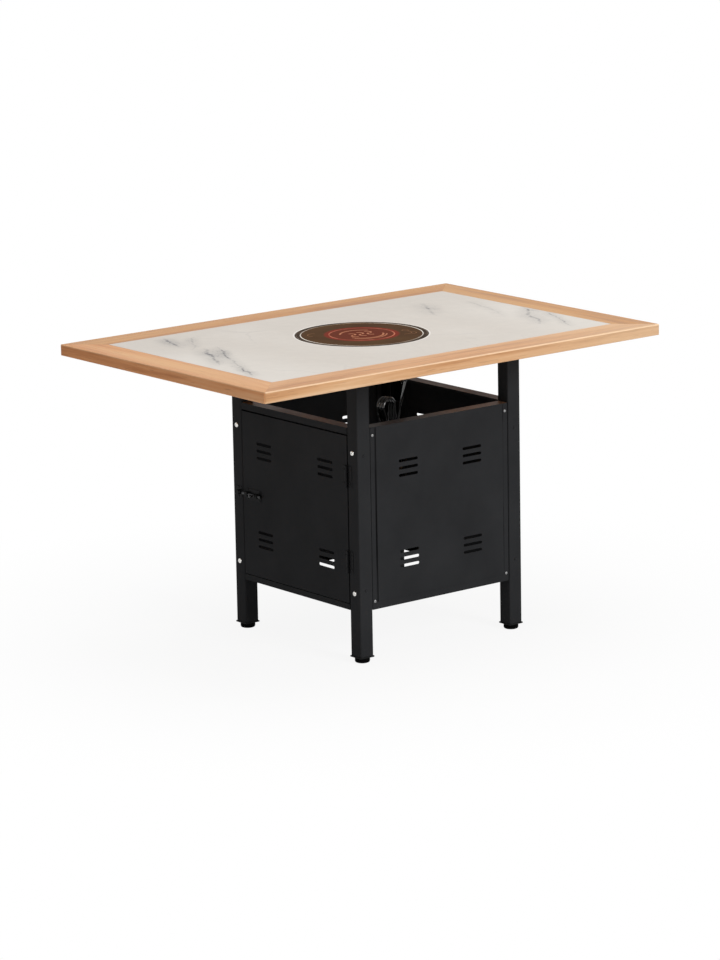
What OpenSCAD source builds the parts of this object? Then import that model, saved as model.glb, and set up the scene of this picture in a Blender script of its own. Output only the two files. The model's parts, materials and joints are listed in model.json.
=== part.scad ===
// Hotpot table: a stone slab in a wooden edge, with a round induction hob let into it, on a steel
// base whose sheet cabinet has a door. The origin is on the floor under the middle of the top,
// X runs along the table, and the door is on the -X side.

/* [Tabletop] */
// Length of the top
top_l = 1200; // [1000:10:1600]
// Width of the top
top_w = 800; // [700:10:1000]
// Height of the table
table_h = 732; // [700:1:780]
// Width of the wooden edge strips
edge_w = 83; // [60:1:110]
// Thickness of the top at its edge
edge_t = 27; // [24:1:40]
// Rounding of the strips' outer arrises
edge_round = 3; // [1:0.5:6]
// Rounding of the top's corners, seen from above
corner_round = 5; // [2:1:12]
// Thickness of the stone slab
slab_t = 12; // [9:1:15]
// Depth of the groove in the strips
groove_d = 10; // [6:1:16]
// Height of the groove
groove_h = 6; // [4:1:8]
// Gap between the slab and the wood
slab_gap = 0.3; // [0.1:0.1:1]

/* [Hob] */
// Diameter of the hob's outer ring
hob_d = 321; // [280:1:360]
// Diameter of the glass
glass_d = 291; // [250:1:300]
// Thickness of the glass
glass_t = 4; // [3:0.5:6]
// Width of the polished ring round the glass
bezel_w = 3; // [1.5:0.5:5]
// Outer diameter of the housing under the top
pan_d = 282; // [240:1:290]
// Depth of the housing below the top's underside
pan_drop = 52; // [45:1:80]
// Wall of the housing
pan_wall = 1.6; // [1:0.2:3]
// Gap between the hob and its cut-outs
hob_gap = 0.6; // [0.3:0.1:2]
// Diameter of the winding
coil_d = 190; // [150:5:220]
// Number of turns that show on the winding
coil_turns = 14; // [8:1:18]
// Side of the fan's frame
fan_size = 80; // [60:1:90]
// Depth of the fan's frame
fan_depth = 22; // [15:1:25]
// Number of fan blades
fan_blades = 7; // [5:1:11]

/* [Legs] */
// Length of the base over the legs
base_l = 502; // [440:1:700]
// Width of the base over the legs
base_w = 484; // [420:1:600]
// Distance of the base from the middle of the top, along the length
base_shift = 38; // [0:1:60]
// Side of the square leg tube
leg_size = 38; // [34:1:50]
// Wall of the leg tube
leg_wall = 1.5; // [1.2:0.1:2.5]
// Side of the welded top plate
plate_size = 100; // [90:1:130]
// Thickness of the top plate
plate_t = 3; // [2:0.5:5]

/* [Cabinet] */
// Height of the cabinet's lower edge above the floor
cab_low = 126; // [80:1:200]
// Height of the cabinet's upper edge above the floor
cab_high = 565; // [500:1:620]
// Thickness of the sheet
sheet = 1.2; // [0.8:0.1:2]
// Width of the folded-in top rim
rim_w = 32; // [28:1:40]
// Width of the folded-in bottom flange
foot_flange = 24; // [10:1:28]
// Width of the set-back band at the panels' sides
band_w = 18; // [14:1:24]
// Depth by which the bands are set back
band_step = 2; // [1:0.5:3]
// Length of an air slot
slot_l = 58; // [40:1:80]
// Height of an air slot
slot_h = 7; // [4:0.5:9]
// Distance between the slots of a group
slot_pitch = 17.5; // [14:0.5:24]
// Distance between the upper and the lower groups
group_rise = 219; // [160:1:260]
// Distance of the groups from the middle of the front and back panels
group_front = 98; // [70:1:110]
// Distance of the back panel's group at the far leg from its middle
group_far = 118; // [80:1:130]
// Distance of the groups from the middle of the door and the right panel
group_side = 118; // [90:1:130]

/* [Door] */
// Height of the rail above the door
rail_high = 16; // [12:1:30]
// Height of the rail below the door
rail_low = 14; // [10:1:30]
// Depth of the door's folded edges
door_fold = 10; // [8:1:14]
// Gap at the door's sides and under it
door_gap = 2; // [1.5:0.5:4]
// Gap over the door
door_gap_top = 4; // [2:0.5:6]
// Distance between the middles of the hinges
hinge_rise = 206; // [140:1:260]
// Length of a hinge
hinge_l = 52; // [40:1:70]
// Width of a hinge leaf from the pin
leaf_w = 17; // [14:1:20]
// Thickness of a hinge leaf
leaf_t = 1.2; // [1:0.1:1.5]
// Radius of a hinge knuckle
knuckle_r = 3.2; // [2.8:0.1:3.4]
// Radius of a hinge pin
pin_r = 1.6; // [1.2:0.1:1.8]
// Running clearance of pins and bolts, measured on the radius
run_gap = 0.05; // [0.02:0.01:0.1]

/* [Tower bolt] */
// Length of the bolt's base plate
latch_l = 56; // [50:1:70]
// Height of the bolt's base plate
latch_h = 28; // [24:1:34]
// Radius of the bolt
bolt_r = 3; // [2.5:0.1:3.5]
// Travel of the bolt
bolt_travel = 16; // [12:1:18]

/* [Feet] */
// Thickness of an end cap's flange
cap_t = 3; // [2:0.5:5]
// Overhang of the flange round the leg
cap_over = 2.2; // [0:0.1:4]
// Diameter of a foot's pad
foot_d = 36; // [30:1:40]
// Height of a foot from the floor to the cap
foot_h = 13; // [11:1:20]
// Radius of a foot's stud
stud_r = 5; // [4:0.5:6]
// Length of a foot's stud that is left for screwing it out
foot_travel = 12; // [8:1:15]

/* [Cord] */
// Diameter of the cord
cord_d = 7; // [6:0.5:8]
// Number of loops in the hank
hank_loops = 3; // [2:1:5]
// Radius of the loops' ends
hank_r = 21; // [15:1:24]
// Height of the hank between the middles of its ends
hank_run = 144; // [120:1:170]
// Distance between the loops
hank_pitch = 8.4; // [8:0.1:10]
// Share by which the loops are drawn in at the waist
hank_waist = 0.45; // [0.2:0.05:0.5]
// Lean of the hank
hank_lean = 12; // [0:1:20]
// Turn of the hank about its height
hank_turn = 50; // [30:5:70]

/* [Hidden] */
$fn = 48;
eps = 0.01;

wood = "burlywood";
steel_black = "#1d1e20";
plated = "silver";

// Levels of the top
top_under = table_h - edge_t;
slab_under = table_h - slab_t;
board_t = slab_under - top_under;
inner_l = top_l - 2 * edge_w;
inner_w = top_w - 2 * edge_w;
groove_low = (board_t - groove_h) / 2;
tongue_gap = 0.2;

// Base frame
leg_x = base_l / 2 - leg_size / 2;
leg_y = base_w / 2 - leg_size / 2;
face_x = base_l / 2;
face_y = base_w / 2;
bay_x = base_l - 2 * leg_size;
bay_y = base_w - 2 * leg_size;
leg_foot = foot_h + cap_t;
plate_under = top_under - plate_t;
cab_mid = (cab_low + cab_high) / 2;
panel_seam = 2.4;
frame_seam = 0.5;

// Screws
top_screw_r = 2.2;
top_screw_l = 12;
top_head_r = 4.6;
top_head_h = 2.6;
plate_hole_in = 12;
leg_screw_r = 3;
leg_head_r = 6;
leg_head_h = 3.2;
leg_screw_rise = 338;
leg_screw_mid = 338;
nut_w = 10;
nut_h = 5;
frame_screw_r = 2;
frame_head_r = 3.8;
frame_head_h = 2;
frame_screw_rise = 324;
panel_screw_r = 2;
panel_head_r = 3.6;
panel_head_h = 1.6;
panel_screw_in = band_w / 2;
panel_screw_rise = 400;
hole_gap = 0.15;
side_screw_lift = (leg_screw_rise - frame_screw_rise) / 2;

// Screw heights
leg_screw_z = [leg_screw_mid - leg_screw_rise / 2, leg_screw_mid + leg_screw_rise / 2];
frame_screw_z = [leg_screw_z[0] + side_screw_lift, leg_screw_z[1] - side_screw_lift];
panel_screw_z = [cab_mid - panel_screw_rise / 2, cab_mid + panel_screw_rise / 2];

// Points of an arc
function arc(cx, cy, r, a0, a1, n) =
    [for (i = [0:n]) [cx + r * cos(a0 + (a1 - a0) * i / n), cy + r * sin(a0 + (a1 - a0) * i / n)]];

// Outline of a rectangle with round corners, centred
function round_rect(l, w, r, n = 4) = concat(
    arc(l / 2 - r, w / 2 - r, r, 0, 90, n), arc(-l / 2 + r, w / 2 - r, r, 90, 180, n),
    arc(-l / 2 + r, -w / 2 + r, r, 180, 270, n), arc(l / 2 - r, -w / 2 + r, r, 270, 360, n));

// The base frame's own place
module on_base() {
    translate([base_shift, 0, 0])
        children();
}

// Places a copy at each of the given signs of X and Y, mirrored so that +X +Y points outwards
module at_leg(sx, sy) {
    on_base()
        translate([sx * leg_x, sy * leg_y, 0])
            mirror([sx > 0 ? 0 : 1, 0, 0])
                mirror([0, sy > 0 ? 0 : 1, 0])
                    children();
}

module each_leg() {
    for (sx = [-1, 1], sy = [-1, 1])
        at_leg(sx, sy)
            children();
}

// Wooden edge: the strip's profile runs inwards from 0 and up from 0
module strip_profile() {
    r = edge_round;
    difference() {
        polygon(concat(arc(r, r, r, 270, 180, 4), arc(r, edge_t - r, r, 180, 90, 4),
            [[edge_w, edge_t], [edge_w, 0]]));
        translate([edge_w - groove_d, groove_low])
            square([groove_d + 1, groove_h]);
    }
}

// A strip along X with its outer side at y = 0 and the top's middle at y = half_w
module edge_strip(len, half_w) {
    intersection() {
        translate([-len / 2, 0, 0])
            rotate([90, 0, 90])
                linear_extrude(len)
                    strip_profile();
        linear_extrude(edge_t)
            polygon([[-len / 2, 0], [len / 2, 0], [len / 2 - edge_w, edge_w],
                [-len / 2 + edge_w, edge_w]]);
        translate([0, half_w, 0])
            linear_extrude(edge_t)
                polygon(round_rect(len, 2 * half_w, corner_round));
    }
}

module edge_side(turn, len, half_w) {
    color(wood)
        rotate([0, 0, turn])
            translate([0, -half_w, top_under])
                edge_strip(len, half_w);
}

module edge_front() { edge_side(0, top_l, top_w / 2); }
module edge_back() { edge_side(180, top_l, top_w / 2); }
module edge_left() { edge_side(270, top_w, top_l / 2); }
module edge_right() { edge_side(90, top_w, top_l / 2); }

module stone_slab() {
    color("whitesmoke")
        translate([0, 0, slab_under])
            difference() {
                translate([-inner_l / 2 + slab_gap, -inner_w / 2 + slab_gap, 0])
                    cube([inner_l - 2 * slab_gap, inner_w - 2 * slab_gap, slab_t]);
                translate([0, 0, -1])
                    cylinder(r = hob_d / 2 + hob_gap, h = slab_t + 2, $fn = 96);
            }
}

// The leg plate's screw holes, in the leg's own place
module each_plate_hole() {
    lo = leg_size / 2 - plate_size + plate_hole_in;
    hi = leg_size / 2 - plate_hole_in;
    for (p = [[lo, lo], [hi - leg_size - 2, hi], [hi, hi - leg_size - 2]])
        translate([p[0], p[1], 0])
            children();
}

module core_board() {
    color("peru")
        difference() {
            union() {
                translate([-inner_l / 2, -inner_w / 2, top_under])
                    cube([inner_l, inner_w, board_t]);
                translate([-inner_l / 2 - groove_d + tongue_gap, -inner_w / 2 - groove_d + tongue_gap,
                    top_under + groove_low + tongue_gap])
                    cube([inner_l + 2 * groove_d - 2 * tongue_gap, inner_w + 2 * groove_d - 2 * tongue_gap,
                        groove_h - 2 * tongue_gap]);
            }
            translate([0, 0, top_under - 1])
                cylinder(r = pan_d / 2 + 2 + hob_gap, h = board_t + 2, $fn = 96);
            each_leg()
                translate([0, 0, top_under - 1])
                    each_plate_hole()
                        cylinder(r = top_screw_r + run_gap, h = top_screw_l + 1 - plate_t + 0.5, $fn = 24);
        }
}

// Hob
pan_r = pan_d / 2;
pan_low = top_under - pan_drop;
glass_low = table_h - glass_t;
lip_t = 3;
lip_r = pan_r - 8;
glass_seat = 0.3;
bezel_in = glass_d / 2 + 0.15;
bezel_out = bezel_in + bezel_w;
carrier_z = glass_low - 16;
fan_x = -60;
fan_z = pan_low + pan_wall + 0.5;
fan_r = fan_size / 2 - 4;
board_x = 52;
pcb_z = pan_low + pan_wall + 12;
gland_out = 105;
cord_turn = -39;
gland_r = 8;
post_screw_r = 1.6;
pcb_l = 90;
pcb_w = 96;
pcb_t = 1.6;
// Capacitors on the board: place, radius and height of each
board_cans = [[-30, -30, 9, 20], [-8, -34, 7, 14], [12, -34, 7, 14]];
choke_at = [18, 20];
choke_size = [22, 18, 16];
ferrite_l = 48;
ferrite_w = 12;
ferrite_t = 5;

module hob_trim_ring() {
    low = slab_under;
    lip_z = glass_low - glass_seat;
    color("#2a2622")
        rotate_extrude($fn = 120)
            polygon([[lip_r, lip_z - lip_t], [bezel_out + 2, lip_z - lip_t], [bezel_out + 2, low],
                [hob_d / 2, low], [hob_d / 2, table_h - 0.4], [hob_d / 2 - 1, table_h + 0.2],
                [bezel_out + 0.8, table_h + 0.2], [bezel_out + 0.1, table_h - 0.3],
                [bezel_out + 0.1, lip_z], [lip_r, lip_z]]);
}

module hob_bezel() {
    color(plated)
        rotate_extrude($fn = 120)
            polygon([[bezel_in, glass_low - glass_seat], [bezel_out, glass_low - glass_seat],
                [bezel_out, table_h - 0.1], [(bezel_in + bezel_out) / 2, table_h + 0.3],
                [bezel_in, table_h - 0.1]]);
}

module hob_glass() {
    color("#3a281b")
        translate([0, 0, glass_low])
            cylinder(d = glass_d, h = glass_t, $fn = 120);
}

module hob_housing() {
    top_z = glass_low - glass_seat - lip_t;
    bend = 10;
    color("dimgray")
        difference() {
            rotate_extrude($fn = 96)
                polygon(concat(
                    [[0, pan_low], [pan_r - bend, pan_low], [pan_r, pan_low + bend], [pan_r, top_z],
                    [lip_r, top_z], [lip_r, top_z - pan_wall], [pan_r - pan_wall, top_z - pan_wall],
                    [pan_r - pan_wall, pan_low + bend + pan_wall / 2],
                    [pan_r - bend - pan_wall / 2, pan_low + pan_wall], [0, pan_low + pan_wall]]));
            translate([fan_x, 0, pan_low - 1])
                cylinder(r = fan_r + 1, h = pan_wall + 2);
            for (a = [-60:10:60])
                rotate([0, 0, a])
                    translate([pan_r - pan_wall - 2, -2.5, pan_low + bend + 6])
                        cube([pan_wall + 4, 5, 18]);
            carrier_posts()
                translate([0, 0, pan_low - 1])
                    cylinder(r = post_screw_r + hole_gap, h = pan_wall + 2, $fn = 24);
            rotate([0, 0, cord_turn])
                translate([gland_out, 0, pan_low - 1])
                    cylinder(r = gland_r - 2 + hole_gap, h = pan_wall + 2);
        }
}

module carrier_posts() {
    for (a = [60, 120, 240, 300])
        rotate([0, 0, a])
            translate([coil_d / 2 + 10, 0, 0])
                children();
}

module coil_carrier() {
    color("black")
        difference() {
            union() {
                translate([0, 0, carrier_z])
                    cylinder(r = coil_d / 2 + 4, h = 4, $fn = 72);
                carrier_posts()
                    translate([0, 0, carrier_z])
                        cylinder(r = 9, h = 4);
                carrier_posts()
                    translate([0, 0, pan_low + pan_wall])
                        cylinder(r = 4, h = carrier_z - pan_low - pan_wall);
            }
            translate([0, 0, carrier_z - 1])
                cylinder(r = 22, h = 6);
            carrier_posts()
                translate([0, 0, pan_low])
                    cylinder(r = post_screw_r + run_gap, h = 12, $fn = 24);
        }
}

module hob_screws() {
    color(plated)
        carrier_posts()
            translate([0, 0, pan_low - 2]) {
                cylinder(r = 3.4, h = 2, $fn = 24);
                translate([0, 0, 1])
                    cylinder(r = post_screw_r, h = 10, $fn = 24);
            }
}

coil_in_r = 34;

module hob_coil() {
    step = (coil_d / 2 - coil_in_r) / coil_turns;
    color("chocolate")
        translate([0, 0, carrier_z + 4])
            rotate_extrude($fn = 72)
                polygon(concat([[coil_d / 2, 0], [coil_d / 2, 2]],
                    [for (i = [coil_turns:-1:1], s = [0:3]) [coil_in_r + step * i - step * (s + 0.5) / 4,
                        s == 0 || s == 3 ? 3 : 4]],
                    [[coil_in_r, 2], [coil_in_r, 0]]));
}

module ferrite_bars() {
    color("gray")
        for (a = [0:60:300])
            rotate([0, 0, a])
                translate([coil_in_r, -ferrite_w / 2, carrier_z - ferrite_t])
                    cube([ferrite_l, ferrite_w, ferrite_t]);
}

module power_board() {
    color("darkgreen")
        translate([board_x, 0, 0]) {
            translate([-pcb_l / 2, -pcb_w / 2, pcb_z])
                cube([pcb_l, pcb_w, pcb_t]);
            for (p = board_cans)
                translate([p[0], p[1], pcb_z + pcb_t - eps])
                    cylinder(r = p[2], h = p[3], $fn = 32);
            translate([choke_at[0], choke_at[1], pcb_z + pcb_t - eps])
                cube(choke_size);
            for (sx = [-1, 1], sy = [-1, 1])
                translate([sx * (pcb_l / 2 - 11), sy * (pcb_w / 2 - 5), pan_low + pan_wall])
                    cylinder(r = 3, h = pcb_z - pan_low - pan_wall + eps, $fn = 24);
        }
}

module heat_sink() {
    color("lightgray")
        translate([board_x - 40, -12, pcb_z + pcb_t]) {
            cube([54, 26, 4]);
            for (i = [0:8])
                translate([0, i * 3.1, 4 - eps])
                    cube([54, 1.2, 16]);
        }
}

module fan_frame() {
    color("black")
        translate([fan_x, 0, fan_z])
            difference() {
                union() {
                    difference() {
                        translate([-fan_size / 2, -fan_size / 2, 0])
                            cube([fan_size, fan_size, fan_depth]);
                        translate([0, 0, -1])
                            cylinder(r = fan_r + 1, h = fan_depth + 2, $fn = 72);
                    }
                    cylinder(r = 12, h = 3);
                    for (a = [0:120:240])
                        rotate([0, 0, a + 30])
                            translate([10, -2, 0])
                                cube([fan_r - 8, 4, 2]);
                    cylinder(r = 2, h = 9, $fn = 24);
                }
                for (sx = [-1, 1], sy = [-1, 1])
                    translate([sx * (fan_size / 2 - 4), sy * (fan_size / 2 - 4), -1])
                        cylinder(r = 2.2, h = fan_depth + 2, $fn = 24);
            }
}

module fan_rotor() {
    hub = 14;
    blade_l = fan_r - hub - 0.8;
    color("dimgray")
        translate([fan_x, 0, fan_z + 4]) {
            difference() {
                cylinder(r = hub, h = fan_depth - 6);
                translate([0, 0, -1])
                    cylinder(r = 2 + run_gap, h = 7, $fn = 24);
            }
            for (i = [0:fan_blades - 1])
                rotate([0, 0, i * 360 / fan_blades])
                    translate([hub - 1, 0, (fan_depth - 6) / 2])
                        rotate([32, 0, 0])
                            translate([0, -9, -0.7])
                                cube([blade_l, 18, 1.4]);
        }
}

module fan_guard() {
    color("black")
        translate([fan_x, 0, pan_low - 2])
            union() {
                for (r = [fan_r + 2, 27, 18, 9])
                    difference() {
                        cylinder(r = r, h = 2, $fn = 72);
                        translate([0, 0, -1])
                            cylinder(r = r - 2, h = 4, $fn = 72);
                    }
                for (a = [0:90:270])
                    rotate([0, 0, a + 45])
                        translate([7.5, -1, 0])
                            cube([fan_r - 6, 2, 2]);
                for (a = [0:90:270])
                    rotate([0, 0, a])
                        translate([fan_r + 1, -4, 0])
                            cube([6, 8, 2]);
            }
}

// Mains cord, in its own place: X runs sideways to the right, Y away from the front left, Z up
module cord_place() {
    rotate([0, 0, cord_turn])
        children();
}

gland_low = pan_low - 10;
hank_at = [66, 0, 486];
tie_h = 8;
tie_t = 1.2;
tie_gap = 0.3;
plug_top = hank_at + turned([26, 19, -114]);
lead_route = [[105, 0, 634], [102, -3, 612], [95, -5, 580], [87, -4, 545]];
tail_route = [for (p = [[20, 15, -32], [25, 18, -66], [26, 19, -92]]) hank_at + turned(p)];

// Half the width of the loops at height v over the waist
function hank_half(v) =
    hank_r * (1 - hank_waist * (abs(v) < hank_run / 2 ? pow(cos(180 * v / hank_run), 2) : 0));

// Depth of the strand after f loops
function hank_depth(f) = hank_pitch * (f - (hank_loops + 1) / 2);

// The 24 points of one loop, from the right of the waist down and round
function hank_loop(n) = concat(
    [for (v = [0, -0.25]) [hank_half(v * hank_run), hank_depth(n + 0.5 - v), v * hank_run]],
    [for (a = [0:22.5:157.5])
        [hank_r * cos(a), hank_depth(n + 1), -hank_run / 2 - hank_r * sin(a)]],
    [for (v = [-0.5:0.25:0.25]) [-hank_half(v * hank_run), hank_depth(n + 1), v * hank_run]],
    [for (a = [180:-22.5:22.5])
        [hank_r * cos(a), hank_depth(n + 1), hank_run / 2 + hank_r * sin(a)]],
    [for (v = [0.5, 0.25]) [hank_half(v * hank_run), hank_depth(n + 1.5 - v), v * hank_run]]);

hank_step = hank_pitch / hank_run;
hank_start = [hank_half(0), hank_depth(0.5), 0];
hank_end = [hank_half(0), hank_depth(hank_loops + 0.5), 0];
run_dir = [0, hank_step, -1] / norm([0, hank_step, -1]);
hank_points = concat([hank_start, hank_start + run_dir * cord_d],
    [for (n = [0:hank_loops - 1], i = [0:23]) if (n + i > 0) hank_loop(n)[i]],
    [hank_end - run_dir * cord_d, hank_end]);

// A point or a direction of the hank, turned about its height, leaned over first, and put in its place
function turned(p) = [p[0] * cos(hank_turn) - p[1] * sin(hank_turn),
    p[0] * sin(hank_turn) + p[1] * cos(hank_turn), p[2]];
function leaned(p) = turned([p[0] * cos(hank_lean) - p[2] * sin(hank_lean), p[1],
    p[0] * sin(hank_lean) + p[2] * cos(hank_lean)]);
function placed(p) = hank_at + leaned(p);

// A smooth curve through points, with steps between each two
function curve_at(a, b, c, d, t) = 0.5 * (2 * b + (c - a) * t + (2 * a - 5 * b + 4 * c - d) * t * t
    + (3 * b - a - 3 * c + d) * t * t * t);
function smooth(p, steps) = let (m = len(p) - 1) concat(
    [for (i = [0:m - 1], s = [0:steps - 1])
        curve_at(p[max(i - 1, 0)], p[i], p[i + 1], p[min(i + 2, m)], s / steps)], [p[m]]);

lead_in = placed(hank_start);
tail_out = placed(hank_end);
lead_dir = leaned(run_dir);
lead_points = concat([[gland_out, 0, gland_low]],
    smooth(concat(lead_route, [lead_in - lead_dir * 2 * cord_d]), 2), [lead_in - lead_dir * cord_d, lead_in]);
tail_points = concat([tail_out],
    smooth(concat([tail_out + lead_dir * cord_d], tail_route), 2), [plug_top]);

// A tube swept along points that lie about in the XZ plane
function unit(v) = v / norm(v);
function way(p, i) = unit(unit(p[min(i + 1, len(p) - 1)] - p[min(i, len(p) - 2)])
    + unit(p[max(i, 1)] - p[max(i - 1, 0)]));
function ring(c, t, r, n) = let (s = unit(cross(t, [0, 1, 0])), u = cross(s, t))
    [for (k = [0:n - 1]) c + r * (cos(360 * k / n) * s + sin(360 * k / n) * u)];

module tube(p, r, n) {
    m = len(p);
    polyhedron(
        points = [for (i = [0:m - 1]) each ring(p[i], way(p, i), r, n)],
        faces = concat([[for (k = [0:n - 1]) k]],
            [for (i = [0:m - 2], k = [0:n - 1]) each [
                [i * n + k, (i + 1) * n + k, (i + 1) * n + (k + 1) % n],
                [i * n + k, (i + 1) * n + (k + 1) % n, i * n + (k + 1) % n]]],
            [[for (k = [n - 1:-1:0]) (m - 1) * n + k]]));
}

least_gap = min([for (i = [0:len(hank_points) - 1], j = [i + 9:1:len(hank_points) - 1])
    norm(hank_points[i] - hank_points[j])]) - cord_d;
echo(least_gap_of_hank = least_gap);

module cord_gland() {
    color("black")
        cord_place()
            translate([gland_out, 0, 0]) {
                translate([0, 0, gland_low])
                    cylinder(r = gland_r, h = pan_low - gland_low);
                cylinder_up(gland_r - 2, pan_low - eps, 8);
                translate([0, 0, pan_low + pan_wall])
                    cylinder(r = gland_r + 1, h = 4, $fn = 6);
            }
}

module cylinder_up(r, z, h) {
    translate([0, 0, z])
        cylinder(r = r, h = h);
}

module cord_lead() {
    color("#151515")
        cord_place()
            tube(lead_points, cord_d / 2, 8);
}

module at_hank() {
    cord_place()
        translate(hank_at)
            rotate([0, 0, hank_turn])
                rotate([0, -hank_lean, 0])
                    children();
}

module cord_hank() {
    color("#151515")
        at_hank()
            tube(hank_points, cord_d / 2, 6);
}

module cord_tail() {
    color("#151515")
        cord_place()
            tube(tail_points, cord_d / 2, 8);
}

module cord_tie() {
    in_x = 2 * (hank_half(0) + cord_d / 2 + tie_gap);
    in_y = 2 * (hank_depth(hank_loops + 0.5) + cord_d / 2 + tie_gap);
    color("#202020")
        at_hank()
            translate([0, 0, -tie_h / 2])
                linear_extrude(tie_h)
                    difference() {
                        polygon(round_rect(in_x + 2 * tie_t, in_y + 2 * tie_t, 2.5));
                        polygon(round_rect(in_x, in_y, 1.3));
                    }
}

plug_boot = 20;
plug_h = 34;
plug_w = 38;
plug_deep = 24;
pin_w = 6.3;
pin_t = 1.6;

module at_plug() {
    cord_place()
        translate(plug_top)
            children();
}

module plug_body() {
    color("#181818")
        at_plug() {
            rotate_extrude()
                polygon([[0, 0], [4.6, 0], [5.2, -6], [5.2, -8], [6, -8], [6.4, -14], [6.4, -16], [7.4, -16],
                    [8, -plug_boot - 1], [0, -plug_boot - 1]]);
            translate([0, 0, -plug_boot - plug_h])
                linear_extrude(plug_h)
                    polygon(round_rect(plug_w, plug_deep, 7, 6));
        }
}

module plug_pins() {
    color(plated)
        at_plug()
            translate([0, 0, -plug_boot - plug_h]) {
                for (s = [-1, 1])
                    translate([s * 7.9, 3, -18])
                        rotate([0, 0, s * 30])
                            translate([-pin_t / 2, -pin_w / 2, 0])
                                cube([pin_t, pin_w, 18]);
                translate([-pin_t / 2, -7.5 - pin_w / 2 + 1, -21])
                    cube([pin_t, pin_w, 21]);
            }
}

// Legs
module each_leg_screw() {
    for (z = leg_screw_z)
        translate([0, 0, z])
            rotate([0, 90, 0])
                children();
}

module each_frame_screw() {
    for (z = frame_screw_z)
        translate([0, 0, z])
            rotate([-90, 0, 0])
                children();
}

module leg(sx, sy) {
    tube_h = plate_under - leg_foot;
    at_leg(sx, sy)
        difference() {
            union() {
                translate([0, 0, leg_foot])
                    linear_extrude(tube_h)
                        difference() {
                            polygon(round_rect(leg_size, leg_size, 3));
                            polygon(round_rect(leg_size - 2 * leg_wall, leg_size - 2 * leg_wall, 1.5));
                        }
                translate([leg_size / 2 - plate_size, leg_size / 2 - plate_size, plate_under])
                    cube([plate_size, plate_size, plate_t]);
            }
            translate([0, 0, plate_under - 1])
                each_plate_hole()
                    cylinder(r = top_screw_r + hole_gap, h = plate_t + 2, $fn = 24);
            each_leg_screw()
                cylinder(r = leg_screw_r + hole_gap, h = leg_size + 2, center = true, $fn = 32);
            each_frame_screw()
                cylinder(r = frame_screw_r + hole_gap, h = leg_size + 2, center = true, $fn = 32);
        }
}

module leg_near() {
    color(steel_black)
        difference() {
            leg(-1, -1);
            door_side()
                each_hinge()
                    frame_rivet_spots()
                        rivet_hole();
        }
}

module leg_left() {
    color(steel_black)
        difference() {
            leg(-1, 1);
            door_side()
                keeper_rivet_spots()
                    rivet_hole();
        }
}

module leg_right() { color(steel_black) leg(1, -1); }
module leg_far() { color(steel_black) leg(1, 1); }

module top_screws() {
    color(plated)
        each_leg()
            each_plate_hole() {
                cylinder_up(top_head_r, plate_under - top_head_h, top_head_h);
                cylinder_up(top_screw_r, plate_under - eps, top_screw_l);
            }
}

cap_plug_h = 14;
stud_hold = 8;

module cap(sx, sy) {
    plug = leg_size - 2 * leg_wall - 0.4;
    side = leg_size + 2 * cap_over;
    color("black")
        at_leg(sx, sy)
            difference() {
                union() {
                    translate([0, 0, foot_h])
                        linear_extrude(cap_t)
                            polygon(round_rect(side, side, 3));
                    translate([0, 0, foot_h + cap_t - eps])
                        linear_extrude(cap_plug_h)
                            polygon(round_rect(plug, plug, 1.5));
                }
                translate([0, 0, foot_h - 1])
                    cylinder(r = stud_r + run_gap, h = cap_t + cap_plug_h + 2);
            }
}

module cap_near() { cap(-1, -1); }
module cap_left() { cap(-1, 1); }
module cap_right() { cap(1, -1); }
module cap_far() { cap(1, 1); }

module foot(sx, sy) {
    r = foot_d / 2;
    seat = foot_h - 0.3;
    stud_top = leg_foot + foot_travel + stud_hold;
    color("#141414")
        at_leg(sx, sy)
            rotate_extrude()
                polygon([[0, 0], [r - 4, 0], [r - 1.2, 1.2], [r, 4], [r, seat - 0.5], [r - 0.5, seat],
                    [stud_r, seat], [stud_r, stud_top - 1], [stud_r - 1, stud_top], [0, stud_top]]);
}

module foot_near() { foot(-1, -1); }
module foot_left() { foot(-1, 1); }
module foot_right() { foot(1, -1); }
module foot_far() { foot(1, 1); }

// Cabinet: a face has X along it, Y inwards from its outer side
module on_face(turn, dist) {
    on_base()
        rotate([0, 0, turn])
            translate([0, -dist, 0])
                children();
}

module front_side() { on_face(0, face_y) children(); }
module back_side() { on_face(180, face_y) children(); }
module right_side() { on_face(90, face_x) children(); }
module door_side() { on_face(270, face_x) children(); }

module air_slots(spots) {
    for (gx = spots, gz = [-1, 1], i = [-1:1])
        translate([gx, -4, cab_mid + gz * group_rise / 2 + i * slot_pitch])
            rotate([-90, 0, 0]) {
                translate([-slot_l / 2 + slot_h / 2, -slot_h / 2, 0])
                    cube([slot_l - slot_h, slot_h, 12]);
                for (s = [-1, 1])
                    translate([s * (slot_l - slot_h) / 2, 0, 0])
                        cylinder(d = slot_h, h = 12, $fn = 24);
            }
}

// A plate between two corners
module plate(from, to) {
    translate(from)
        cube(to - from);
}

rim_lip = 8;
angle_t = 1.5;
angle_w = 30;

module top_rim(half) {
    plate([-half, 0, cab_high - sheet], [half, rim_w, cab_high]);
    plate([-half, rim_w - sheet, cab_high - rim_lip], [half, rim_w, cab_high]);
}

module each_panel_screw(bay) {
    for (s = [-1, 1], z = panel_screw_z)
        translate([s * (bay / 2 - panel_screw_in), band_step, z])
            rotate([-90, 0, 0])
                children();
}

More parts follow.
